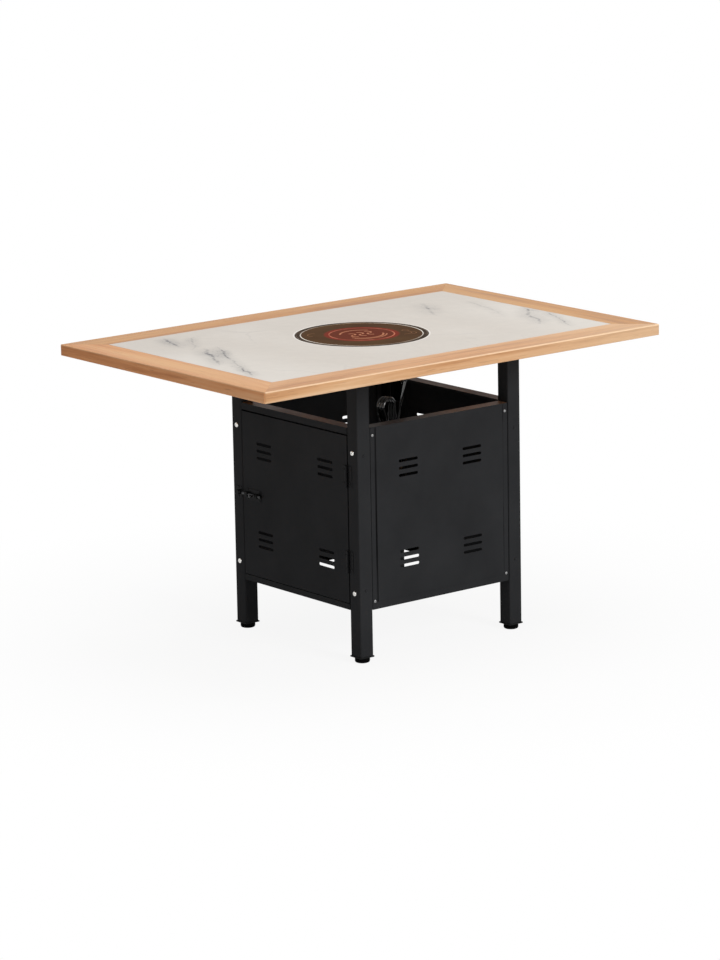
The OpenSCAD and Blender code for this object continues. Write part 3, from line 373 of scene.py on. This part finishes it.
# Turning marks per metre of radius, and radius and half width of the painted highlight line on the trim ring
TURNED, LINE_R, LINE_HALF = 2600, 157.4 * MM, 0.4 * MM


def polished_ring():
    """Thin ring polished round its axis, with a painted highlight at its two sides."""
    s = Shader("polished_ring")
    x, y, _ = s.xyz()
    radius = s.radius(x, y)
    # Painted highlight: paler towards the two sides on the X axis
    side = s.step(s.math("DIVIDE", s.math("ABSOLUTE", x), radius), GLINT_FROM, GLINT_FULL)
    turned = s.noise(s.flat(s.times(radius, TURNED), 0.0), 1, 2, 0.6)
    col = s.mix(side, rgb(150, 128, 104), rgb(231, 220, 203))
    rough = s.spread(turned, 0.13, 0.22)
    return s.done(Base_Color=col, Metallic=1.0, Roughness=rough, Normal=s.bump(turned, 0.00001, 0.5))


def ring_metal():
    """Dark lacquered ring, turned in fine rings, with a painted sheen round it and a painted highlight line
    near its outer edge, brightest at its two sides.
    """
    s = Shader("hob_ring")
    x, y, z = s.xyz()
    radius = s.radius(x, y)
    rings = s.noise(s.flat(s.times(radius, TURNED), s.times(z, 900)), 1, 2, 0.6)
    angle = s.math("ARCTAN2", y, x)
    # Painted sheen: the tone comes and goes round the ring
    sheen = s.noise(s.flat(s.times(angle, 1.6), 0.0), 1, 3, 0.6)
    col = s.ramp(sheen, [(0.35, rgb(50, 39, 30)), (0.5, rgb(64, 51, 40)), (0.68, rgb(98, 82, 68))])
    # Painted highlight: a pale line near the outer edge, strongest at the two sides
    line = s.step(s.apart(radius, LINE_R), LINE_HALF + 0.5 * MM, LINE_HALF)
    side = s.step(s.math("DIVIDE", s.math("ABSOLUTE", x), radius), GLINT_FROM, GLINT_FULL, 0.15, 1.0)
    col = s.mix(s.times(line, side), col, rgb(140, 126, 112))
    rough = s.spread(rings, 0.26, 0.42)
    return s.done(Base_Color=col, Roughness=rough, IOR=1.02, Normal=s.bump(rings, 0.000015, 0.6))


# The glass's print in mm and degrees. Arcs are (middle x, middle y, radius, half width, from, to).
DISC_R, GLOW_R, RIM_LINE_R = 84, 84, 78.5
CURLS = [(0, 0, 52, 2.2, 205, 335), (0, 0, 60, 1.6, 215, 325), (0, 0, 52, 2.2, 35, 145)]
for curl_x in (-24, 0, 24):
    CURLS += [(curl_x, 12, 11, 2.2, -80, 80), (curl_x, -10, 11, 2.2, 100, 260)]
TOUCH_MARKS = [(-88, 66, 20, 0.7, 60, 210), (84, -52, 22, 0.7, -120, 30), (96, -66, 15, 0.7, -120, 30),
               (108, -34, 9, 0.7, 0, 300)]


def hob_print():
    """Dark glass with a printed heating zone, generic steam curls and touch marks."""
    s = Shader("hob_glass")
    x, y, _ = s.xyz()
    radius = s.radius(x, y)
    speck = s.noise(s.place, 1400, 2, 0.5)
    shade = s.noise(s.place, 9, 3, 0.5)
    col = s.ramp(shade, [(0.3, rgb(74, 45, 19)), (0.7, rgb(90, 62, 32))])
    col = s.mix(s.step(speck, 0.66, 0.72, 0, 0.18), col, rgb(120, 96, 72))

    def stroke(at, r, half, soft):
        return s.step(s.apart(at, r * MM), (half + soft) * MM, half * MM)

    def arc(cx, cy, r, half, a0, a1):
        dx, dy = s.math("SUBTRACT", x, cx * MM), s.math("SUBTRACT", y, cy * MM)
        mid, span = math.radians((a0 + a1) / 2), math.radians((a1 - a0) / 2)
        turn = s.math("ARCTAN2", s.math("SUBTRACT", s.times(dy, math.cos(mid)), s.times(dx, math.sin(mid))),
                      s.math("ADD", s.times(dx, math.cos(mid)), s.times(dy, math.sin(mid))))
        within = s.step(s.math("ABSOLUTE", turn), span + 0.02, span - 0.02)
        return s.times(stroke(s.radius(dx, dy), r, half, 0.5), within)

    def printed(arcs):
        total = 0.0
        for one in arcs:
            total = s.math("MAXIMUM", total, arc(*one))
        return total

    disc = s.step(radius, (DISC_R + 2) * MM, (DISC_R - 2) * MM)
    col = s.mix(s.times(disc, 0.8), col, rgb(112, 42, 22))
    col = s.mix(s.times(stroke(radius, GLOW_R, 3, 7), 0.75), col, rgb(136, 42, 26))
    uneven = s.step(s.noise(s.place, 28, 2, 0.5), 0.38, 0.60, 0.35, 0.95)
    col = s.mix(s.times(stroke(radius, RIM_LINE_R, 1.4, 0.6), uneven), col, rgb(204, 122, 92))
    col = s.mix(s.times(printed(CURLS), 0.75), col, rgb(208, 138, 100))
    col = s.mix(s.times(printed(TOUCH_MARKS), 0.5), col, rgb(176, 122, 84))
    smear = s.noise(s.place, 18, 4, 0.6)
    return s.done(Base_Color=col, Roughness=s.spread(smear, 0.10, 0.18), IOR=1.015)


def plastic(name, tone, rough=(0.42, 0.55), grain=0.00004, scale=1100, ior=1.45):
    """Moulded plastic or rubber with a fine skin; grain is its depth in metres."""
    s = Shader(name)
    skin = s.noise(s.place, scale, 2, 0.5)
    broad = s.noise(s.place, 30, 3, 0.5)
    col = s.ramp(broad, [(0.3, tuple(c * 0.8 for c in tone)), (0.7, tuple(c * 1.25 for c in tone))])
    return s.done(Base_Color=col, Roughness=s.spread(skin, *rough), IOR=ior,
                  Normal=s.bump(skin, grain, 0.7))


def plywood():
    """Layered board under the slab."""
    s = Shader("core_wood")
    layers = s.noise(s.scaled((3, 3, 520)), 1, 1, 0.4)
    grain = s.noise(s.scaled((3, 60, 60)), 1, 5, 0.6)
    col = s.ramp(grain, [(0.35, rgb(168, 128, 88)), (0.65, rgb(205, 168, 124))])
    col = s.mix(s.step(layers, 0.4, 0.6, 0.0, 0.25), col, rgb(120, 84, 54))
    return s.done(Base_Color=col, Roughness=s.spread(grain, 0.6, 0.75),
                  Normal=s.bump(grain, 0.0002, 0.5))


def circuit():
    """Green board with lighter tracks."""
    s = Shader("circuit_board")
    tracks = s.cells(s.scaled((260, 260, 60)), 1)
    col = s.mix(s.step(tracks, 0.28, 0.34), rgb(18, 104, 48), rgb(10, 70, 34))
    return s.done(Base_Color=col, Roughness=s.step(tracks, 0.2, 0.5, 0.3, 0.45))


def winding():
    """Copper strands that run round the coil."""
    s = Shader("copper_winding")
    x, y, _ = s.xyz()
    radius, angle = s.radius(x, y), s.math("ARCTAN2", y, x)
    strands = s.noise(s.flat(s.times(radius, 1800), s.times(angle, 30)), 1, 3, 0.6)
    col = s.ramp(strands, [(0.3, rgb(120, 58, 28)), (0.7, rgb(196, 112, 62))])
    return s.done(Base_Color=col, Metallic=0.8, Roughness=s.spread(strands, 0.28, 0.42),
                  Normal=s.bump(strands, 0.0001, 0.6))


# One material for each slot of the record
MATERIALS = {
    "oak_edge": oak("oak_edge", True, (184, 124, 76), (217, 162, 113), (232, 187, 143),
                    paler_towards_x=0.40, side=(0.92, 0.98, 1.06)),
    "marble_slab": marble(),
    "core_wood": plywood(),
    "hob_ring": ring_metal(),
    "polished_ring": polished_ring(),
    "hob_glass": hob_print(),
    "zinc_sheet": bright_metal("zinc_sheet", (0.46, 0.47, 0.48), 0.38),
    "copper_winding": winding(),
    "black_plastic": plastic("black_plastic", (0.014, 0.014, 0.0145), ior=1.12),
    "ferrite": plastic("ferrite", (0.07, 0.07, 0.075), (0.5, 0.7), 0.00008, 600),
    "circuit_board": circuit(),
    "heat_sink": bright_metal("heat_sink", (0.72, 0.72, 0.73), 0.3, (0.04, 1, 1)),
    "black_steel": steel("black_steel", (0.0245, 0.0252, 0.0268)),
    "plated_steel": bright_metal("plated_steel", (0.78, 0.77, 0.74), 0.2),
    "dark_hardware": steel("dark_hardware", (0.012, 0.012, 0.013), (0.26, 0.36), 0.00001, 1.13),
    "bolt_steel": bright_metal("bolt_steel", (0.045, 0.045, 0.047), 0.30, (1, 0.05, 1)),
    "cord_sheath": plastic("cord_sheath", (0.008, 0.008, 0.0085), (0.10, 0.16), 0.00001, 500, 1.85),
    "plug_plastic": plastic("plug_plastic", (0.014, 0.014, 0.015), (0.36, 0.48)),
    "pin_brass": bright_metal("pin_brass", (0.72, 0.58, 0.34), 0.2, (1, 1, 0.05)),
    "foot_rubber": plastic("foot_rubber", (0.0035, 0.0035, 0.0035), (0.5, 0.65), 0.00006, 700, 1.05),
}
# The other three strips of the edge have boards of their own
BOARDS = {
    "edge_left": oak("oak_left", False, (184, 117, 67), (221, 155, 99), (233, 182, 130),
                     side=(1.12, 1.08, 1.15), painted_light_strength=0.2),
    "edge_right": oak("oak_right", False, (170, 116, 66), (205, 150, 94), (221, 173, 119)),
    "edge_back": oak("oak_back", True, (167, 109, 59), (200, 142, 87), (216, 165, 111)),
}


# ---------------------------------------------------------------- pieces
# In degrees: faces flatter than this are joined, edges from here on are rounded, edges from here on look sharp
FLAT_BELOW, ROUND_FROM, SHARP_FROM, SCREW_SHARP_FROM = 0.6, 32, 40, 38
# Distance in metres within which vertices are one, and faces across a rounding
WELD, BEVEL_STEPS = 2e-6, 2
# Turn of each screw's cross against the one before it, in radians
SLOT_TURN = 0.83


def linked(name, data):
    """A new object in the scene."""
    o = bpy.data.objects.new(name, data)
    bpy.context.scene.collection.objects.link(o)
    return o


def new_piece(name, mesh, body, mat, stands_for=()):
    """A piece of the look that moves with body and has the CAD material slot."""
    o = linked(name, mesh)
    mesh.materials.clear()
    mesh.materials.append(mat)
    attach(o, body)
    if stands_for:
        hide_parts(*stands_for)
    return o


def mesh_of(bm, name):
    mesh = bpy.data.meshes.new(name)
    bm.to_mesh(mesh)
    bm.free()
    return mesh


def smooth_shaded(mesh, angle):
    """Smooth faces, but for edges sharper than angle in degrees."""
    mesh.shade_smooth()
    mesh.set_sharp_from_angle(angle=math.radians(angle))


def softened(node, width):
    """A copy of a CAD node with its edges rounded by width mm, which stands for the node."""
    bm = bmesh.new()
    bm.from_mesh(NODES[node].data)
    bmesh.ops.remove_doubles(bm, verts=bm.verts, dist=WELD)
    bmesh.ops.dissolve_limit(bm, angle_limit=math.radians(FLAT_BELOW), verts=bm.verts, edges=bm.edges)
    sharp = [e for e in bm.edges if len(e.link_faces) == 2 and e.calc_face_angle(0) > math.radians(ROUND_FROM)]
    if sharp:
        bmesh.ops.bevel(bm, geom=sharp, offset=width * MM, offset_type="OFFSET", segments=BEVEL_STEPS,
                        profile=0.5, affect="EDGES", clamp_overlap=True)
    mesh = mesh_of(bm, node + "_soft")
    smooth_shaded(mesh, SHARP_FROM)
    o = new_piece(node + "_finish", mesh, body_of(node), MATERIALS[SLOTS[node]], [node])
    even = o.modifiers.new("even", "WEIGHTED_NORMAL")
    even.keep_sharp = True
    return o


LATHE_STEPS = 32


def lathe(profile):
    """A closed mesh turned round Z from (radius, height) pairs that start and end on the axis."""
    bm = bmesh.new()
    turns = [2 * math.pi * k / LATHE_STEPS for k in range(LATHE_STEPS)]
    rings = []
    for r, h in profile:
        round_it = [(r * math.cos(t), r * math.sin(t), h) for t in turns] if r > 0 else [(0, 0, h)]
        rings.append([bm.verts.new(co) for co in round_it])
    for a, b in zip(rings, rings[1:]):
        for k in range(LATHE_STEPS):
            j = (k + 1) % LATHE_STEPS
            quad = [a[k % len(a)], a[j % len(a)], b[j % len(b)], b[k % len(b)]]
            bm.faces.new(list(dict.fromkeys(quad)))
    bmesh.ops.recalc_face_normals(bm, faces=bm.faces)
    return bm


def cross_slot(r, deep, top):
    """Cutter of a cross recess, tapering downwards."""
    bm = bmesh.new()
    for turn in (0, math.pi / 2):
        for v in bmesh.ops.create_cube(bm, size=1)["verts"]:
            long, wide, high = (0.9, 0.24, top - deep) if v.co.z < 0 else (1.5, 0.34, top + deep)
            v.co = Vector((v.co.x * r * long, v.co.y * r * wide, high))
            v.co.rotate(Matrix.Rotation(turn, 3, "Z"))
    return bm


# Outline of a pan head, as parts of its radius and height
DOME = [(0, 1.0), (0.3, 0.985), (0.55, 0.93), (0.75, 0.82), (0.9, 0.62), (0.985, 0.36), (1.0, 0.2), (1.0, 0.0)]


def screw_mesh(name, head_r, head_h, shank_r, length):
    """A pan-head screw with a cross recess; its head stands on z = 0 and its shank goes down."""
    profile = [(head_r * a, head_h * b) for a, b in DOME]
    profile += [(shank_r, 0), (shank_r, -length + shank_r * 0.6), (shank_r * 0.5, -length), (0, -length)]
    body = linked(name, mesh_of(lathe(profile), name))
    slot = name + "_slot"
    cutter = linked(slot, mesh_of(cross_slot(head_r * 0.5, head_h * 0.55, head_h), slot))
    cut = body.modifiers.new("recess", "BOOLEAN")
    cut.operation, cut.object, cut.solver, cut.use_self = "DIFFERENCE", cutter, "EXACT", True
    deps = bpy.context.evaluated_depsgraph_get()
    mesh = bpy.data.meshes.new_from_object(body.evaluated_get(deps))
    bpy.data.objects.remove(body)
    bpy.data.objects.remove(cutter)
    return mesh


def islands(node):
    """The vertex clouds of a node's separate solids."""
    bm = bmesh.new()
    bm.from_mesh(NODES[node].data)
    bmesh.ops.remove_doubles(bm, verts=bm.verts, dist=WELD)
    left, out = set(bm.verts), []
    while left:
        stack, cloud = [left.pop()], []
        while stack:
            v = stack.pop()
            cloud.append(v.co.copy())
            for e in v.link_edges:
                w = e.other_vert(v)
                if w in left:
                    left.remove(w)
                    stack.append(w)
        out.append(cloud)
    bm.free()
    return out


def centre(cloud):
    return sum(cloud, Vector()) / len(cloud)


def screw_place(cloud):
    """The seat of a plain screw's head, its outward direction, and its sizes for screw_mesh."""
    lo = Vector(min(v[i] for v in cloud) for i in range(3))
    hi = Vector(max(v[i] for v in cloud) for i in range(3))
    axis = max(range(3), key=lambda i: hi[i] - lo[i])
    mid = (lo + hi) / 2
    a, b = (i for i in range(3) if i != axis)

    def reach(v):
        return math.hypot(v[a] - mid[a], v[b] - mid[b])

    head_r = max(reach(v) for v in cloud)
    up = 1 if reach(max(cloud, key=lambda v: (v[axis], reach(v)))) > head_r * 0.7 else -1
    wide = [v[axis] for v in cloud if reach(v) > head_r * 0.97]
    seat, crown, tip = (min(wide), hi[axis], lo[axis]) if up > 0 else (max(wide), lo[axis], hi[axis])
    head_h = abs(crown - seat)
    shank_r = max(reach(v) for v in cloud if abs(v[axis] - tip) < 1e-5)
    outward = Vector((0, 0, 0))
    outward[axis] = up
    foot = mid.copy()
    foot[axis] = seat
    return foot, outward, (head_r, head_h, shank_r, hi[axis] - lo[axis] - head_h)


def real_screws(node, mat=None):
    """Detailed screws where the node's plain ones are, in one piece that stands for the node."""
    bm = bmesh.new()
    spare = {}
    in_order = sorted(islands(node), key=lambda cloud: tuple(round(v, 4) for v in centre(cloud)))
    for n, cloud in enumerate(in_order):
        foot, outward, sizes = screw_place(cloud)
        shape = tuple(round(v, 5) for v in sizes)
        if shape not in spare:
            spare[shape] = screw_mesh(node + "_one", *shape)
        upright = outward.to_track_quat("Z", "Y").to_matrix().to_4x4()
        copy = spare[shape].copy()
        copy.transform(Matrix.Translation(foot) @ upright @ Matrix.Rotation(n * SLOT_TURN, 4, "Z"))
        bm.from_mesh(copy)
        bpy.data.meshes.remove(copy)
    mesh = mesh_of(bm, node + "_real")
    smooth_shaded(mesh, SCREW_SHARP_FROM)
    return new_piece(node + "_detail", mesh, body_of(node), mat or MATERIALS[SLOTS[node]], [node])


# ---------------------------------------------------------------- cord, the same route as the solids
# In mm, and degrees turned to radians
CORD_D = 7
HANK_LOOPS, HANK_R, HANK_RUN, HANK_PITCH, HANK_WAIST = 3, 21, 144, 8.4, 0.45
HANK_LEAN, HANK_TURN, CORD_TURN = (math.radians(a) for a in (12, 50, -39))
HANK_AT = Vector((66, 0, 486))
GLAND = (105, 0, 643)
LEAD_ROUTE = [(105, 0, 634), (102, -3, 612), (95, -5, 580), (87, -4, 545)]
# Measured from the hank's middle, along its own turned axes; the last point is the plug's top
TAIL_ROUTE = [(20, 15, -32), (25, 18, -66), (26, 19, -92), (26, 19, -114)]


def hank_half(v):
    """Half width of the hank at height v, drawn in at its waist."""
    drawn = math.cos(math.pi * v / HANK_RUN) ** 2 if abs(v) < HANK_RUN / 2 else 0
    return HANK_R * (1 - HANK_WAIST * drawn)


def hank_depth(f):
    """Where strand f lies across the hank."""
    return HANK_PITCH * (f - (HANK_LOOPS + 1) / 2)


def hank_loop(n):
    """Points of loop n, from the waist down, up the other side and down again."""
    run = HANK_RUN

    def side(sign, v, d):
        return Vector((sign * hank_half(v * run), hank_depth(d), v * run))

    def bend(a, d, end):
        t = math.radians(a)
        return Vector((HANK_R * math.cos(t), hank_depth(d), end * (run / 2 + HANK_R * math.sin(t))))

    pts = [side(1, v, n + 0.5 - v) for v in (0, -0.25)]
    pts += [bend(22.5 * i, n + 1, -1) for i in range(8)]
    pts += [side(-1, v, n + 1) for v in (-0.5, -0.25, 0, 0.25)]
    pts += [bend(180 - 22.5 * i, n + 1, 1) for i in range(8)]
    pts += [side(1, v, n + 1.5 - v) for v in (0.5, 0.25)]
    return pts


def turned(p):
    return Matrix.Rotation(HANK_TURN, 3, "Z") @ Vector(p)


def leaned(p):
    return turned(Matrix.Rotation(-HANK_LEAN, 3, "Y") @ Vector(p))


def placed(p):
    return HANK_AT + leaned(p)


def catmull(pts, steps):
    """Points of a smooth curve through pts."""
    p = [Vector(q) for q in pts]
    m = len(p) - 1
    out = []
    for i in range(m):
        a, b, c, d = p[max(i - 1, 0)], p[i], p[i + 1], p[min(i + 2, m)]
        for s in range(steps):
            t = s / steps
            out.append(0.5 * (2 * b + (c - a) * t + (2 * a - 5 * b + 4 * c - d) * t * t
                              + (3 * b - a - 3 * c + d) * t ** 3))
    return out + [p[m]]


def cord_route():
    """The cord from the gland to the plug's top."""
    start = Vector((hank_half(0), hank_depth(0.5), 0))
    end = Vector((hank_half(0), hank_depth(HANK_LOOPS + 0.5), 0))
    run = Vector((0, HANK_PITCH / HANK_RUN, -1)).normalized()
    loops = [start, start + run * CORD_D]
    for n in range(HANK_LOOPS):
        loops += hank_loop(n)[(1 if n == 0 else 0):]
    loops += [end - run * CORD_D, end]
    down = leaned(run)
    lead_in, tail_out = placed(start), placed(end)
    lead = [Vector(GLAND)] + catmull(LEAD_ROUTE + [lead_in - down * 2 * CORD_D], 2) + [lead_in - down * CORD_D]
    *route, plug_top = [HANK_AT + turned(p) for p in TAIL_ROUTE]
    tail = catmull([tail_out + down * CORD_D] + route, 2) + [plug_top]
    return lead + [placed(p) for p in loops] + tail


def in_frame(p):
    """From the cord's own place, in mm, to the frame, in metres."""
    return Matrix.Rotation(CORD_TURN, 3, "Z") @ Vector(p) * MM


def make_cord():
    """The cord's object, its path and its length."""
    path = catmull([in_frame(p) for p in cord_route()], 3)
    curve = bpy.data.curves.new("mains_cord", "CURVE")
    curve.dimensions = "3D"
    curve.bevel_depth = CORD_D / 2 * MM
    curve.bevel_resolution = 6
    curve.use_fill_caps = True
    spline = curve.splines.new("POLY")
    spline.points.add(len(path) - 1)
    for q, v in zip(spline.points, path):
        q.co = (*v, 1)
    spline.use_smooth = True
    o = linked("mains_cord", curve)
    curve.materials.append(MATERIALS["cord_sheath"])
    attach(o, body_of("cord_hank"))
    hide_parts("cord_lead", "cord_hank", "cord_tail")
    length = sum((b - a).length for a, b in zip(path, path[1:]))
    return o, path, length


# Length, upper and lower radius of the sleeve, depth and number of its ribs, and its bore's radius
BOOT_LONG, BOOT_TOP, BOOT_TIP, RIB_DEEP, BOOT_RIBS = 28 * MM, 6.8 * MM, 4.4 * MM, 0.7 * MM, 5
BOOT_BORE = (CORD_D / 2 + 0.05) * MM


def make_boot(path):
    """Ribbed, tapered sleeve that keeps the cord from kinking where it leaves the gland."""
    steps, sides = 50, 28
    run, at = [0.0], 0
    for a, b in zip(path, path[1:]):
        run.append(run[-1] + (b - a).length)
    rings = []
    for i in range(steps + 1):
        far = BOOT_LONG * i / steps
        while run[at + 1] < far:
            at += 1
        t = (far - run[at]) / (run[at + 1] - run[at])
        middle = path[at].lerp(path[at + 1], t)
        rib = 0.5 + 0.5 * math.cos(2 * math.pi * BOOT_RIBS * i / steps)
        radius = BOOT_TOP + (BOOT_TIP - BOOT_TOP) * i / steps - (0.0 if i > steps - 4 else RIB_DEEP * rib)
        rings.append((middle, (path[at + 1] - path[at]).normalized(), radius))
    rings[0] = (rings[0][0], rings[0][1], BOOT_TOP)
    outline = rings + [(m, d, BOOT_BORE) for m, d, _ in (rings[-1], rings[0])]
    bm = bmesh.new()
    loops = []
    for middle, along, radius in outline:
        across = along.cross(Vector((0, 1, 0))).normalized()
        up = along.cross(across)
        loops.append([bm.verts.new(middle + radius * (math.cos(a) * across + math.sin(a) * up))
                      for a in (2 * math.pi * k / sides for k in range(sides))])
    for a, b in zip(loops, loops[1:] + loops[:1]):
        for k in range(sides):
            n = (k + 1) % sides
            bm.faces.new((a[k], a[n], b[n], b[k]))
    bmesh.ops.recalc_face_normals(bm, faces=bm.faces)
    mesh = mesh_of(bm, "cord_boot")
    smooth_shaded(mesh, SHARP_FROM)
    return new_piece("cord_boot", mesh, body_of("cord_hank"), MATERIALS["plug_plastic"])


cord, cord_path, cord_len = make_cord()
make_boot(cord_path)

# ---------------------------------------------------------------- softened copies
# Width of the rounding in mm, and the nodes that have it
WIDTHS = {
    0.5: "edge_front edge_back edge_left edge_right stone_slab hob_trim_ring",
    0.4: "hob_bezel hob_glass core_board",
    0.45: "leg_near leg_left leg_right leg_far front_panel back_panel right_panel door_frame door panel_angles",
    0.6: "cap_near cap_left cap_right cap_far foot_near foot_left foot_right foot_far",
    0.3: "upper_frame_leaf upper_door_leaf upper_pin lower_frame_leaf lower_door_leaf lower_pin "
         "latch_body latch_bolt latch_keeper door_rivets frame_rivets cord_gland cord_tie plug_body plug_pins "
         "hob_housing fan_frame fan_rotor fan_guard coil_carrier heat_sink leg_nuts",
}
DULL_ZINC = bright_metal("dull_zinc", (0.30, 0.30, 0.30), 0.36)
# Nodes that get detailed screws, with their material where it isn't the slot's
SCREWS = {"leg_screws": None, "panel_screws": DULL_ZINC, "frame_screws": None, "top_screws": None,
          "hob_screws": None}
finished = {node: real_screws(node, mat) for node, mat in SCREWS.items()}
for width, names in WIDTHS.items():
    for node in names.split():
        finished[node] = softened(node, width)
for node, mat in BOARDS.items():
    finished[node].data.materials[0] = mat
for node, o in NODES.items():
    if node not in finished and not o.hide_render:
        o.data.materials.clear()
        o.data.materials.append(MATERIALS[SLOTS[node]])


# ---------------------------------------------------------------- floor, light, world
# Half side of the floor in metres, and how strongly the world lights the object
FLOOR, AMBIENT = 30, 0.31


def make_floor():
    """Pale floor that the camera sees white, a little darker near the table."""
    mesh = bpy.data.meshes.new("floor")
    corners = [(FLOOR * a, FLOOR * b, 0) for a, b in ((-1, -1), (1, -1), (1, 1), (-1, 1))]
    mesh.from_pydata(corners, [], [(0, 1, 2, 3)])
    o = linked("floor", mesh)
    s = Shader("floor")
    s.done(Base_Color=(0.86, 0.86, 0.86), Roughness=0.9, Specular_IOR_Level=0.0)
    glow = s.node("Emission", {"Color": (1, 1, 1, 1), "Strength": 1.0})
    far = s.step(s.vec("LENGTH", s.place), 0.3, 1.4, 0.90, 1.0)
    both = s.node("MixShader", [s.times(s.looked_at(), far), s.out.outputs[0], glow.outputs[0]])
    s.feed(s.tree.nodes["Material Output"].inputs[0], both.outputs[0])
    mesh.materials.append(s.mat)


def make_world():
    """White to the camera and in reflections, dim as a light."""
    world = bpy.data.worlds.new("studio")
    bpy.context.scene.world = world
    world.use_nodes = True
    t = Nodes(world.node_tree)
    back = world.node_tree.nodes["Background"]
    t.feed(back.inputs["Color"], (1, 1, 1, 1))
    t.feed(back.inputs["Strength"], t.math("ADD", t.times(t.looked_at(), 1.0 - AMBIENT), AMBIENT))


def lamp(name, at, size, watts, aim=(0, 0, 0.45)):
    """A soft rectangular lamp that looks at aim."""
    data = bpy.data.lights.new(name, "AREA")
    data.shape = "RECTANGLE"
    data.size, data.size_y = size
    data.energy = watts
    o = linked(name, data)
    o.location = at
    o.rotation_euler = (Vector(aim) - Vector(at)).to_track_quat("-Z", "Y").to_euler()


make_floor()
make_world()
lamp("key", (0.3, -5.0, 3.0), (1.8, 1.8), 116)
lamp("top", (0.4, 0.0, 4.2), (2.8, 2.4), 61)
lamp("fill", (-4.5, -0.6, 1.8), (2.4, 2.2), 3)
lamp("front", (1.0, -6.0, 1.75), (2.0, 1.2), 50, aim=(0.05, 0, 0.55))

bpy.context.scene.view_settings.view_transform = "Standard"
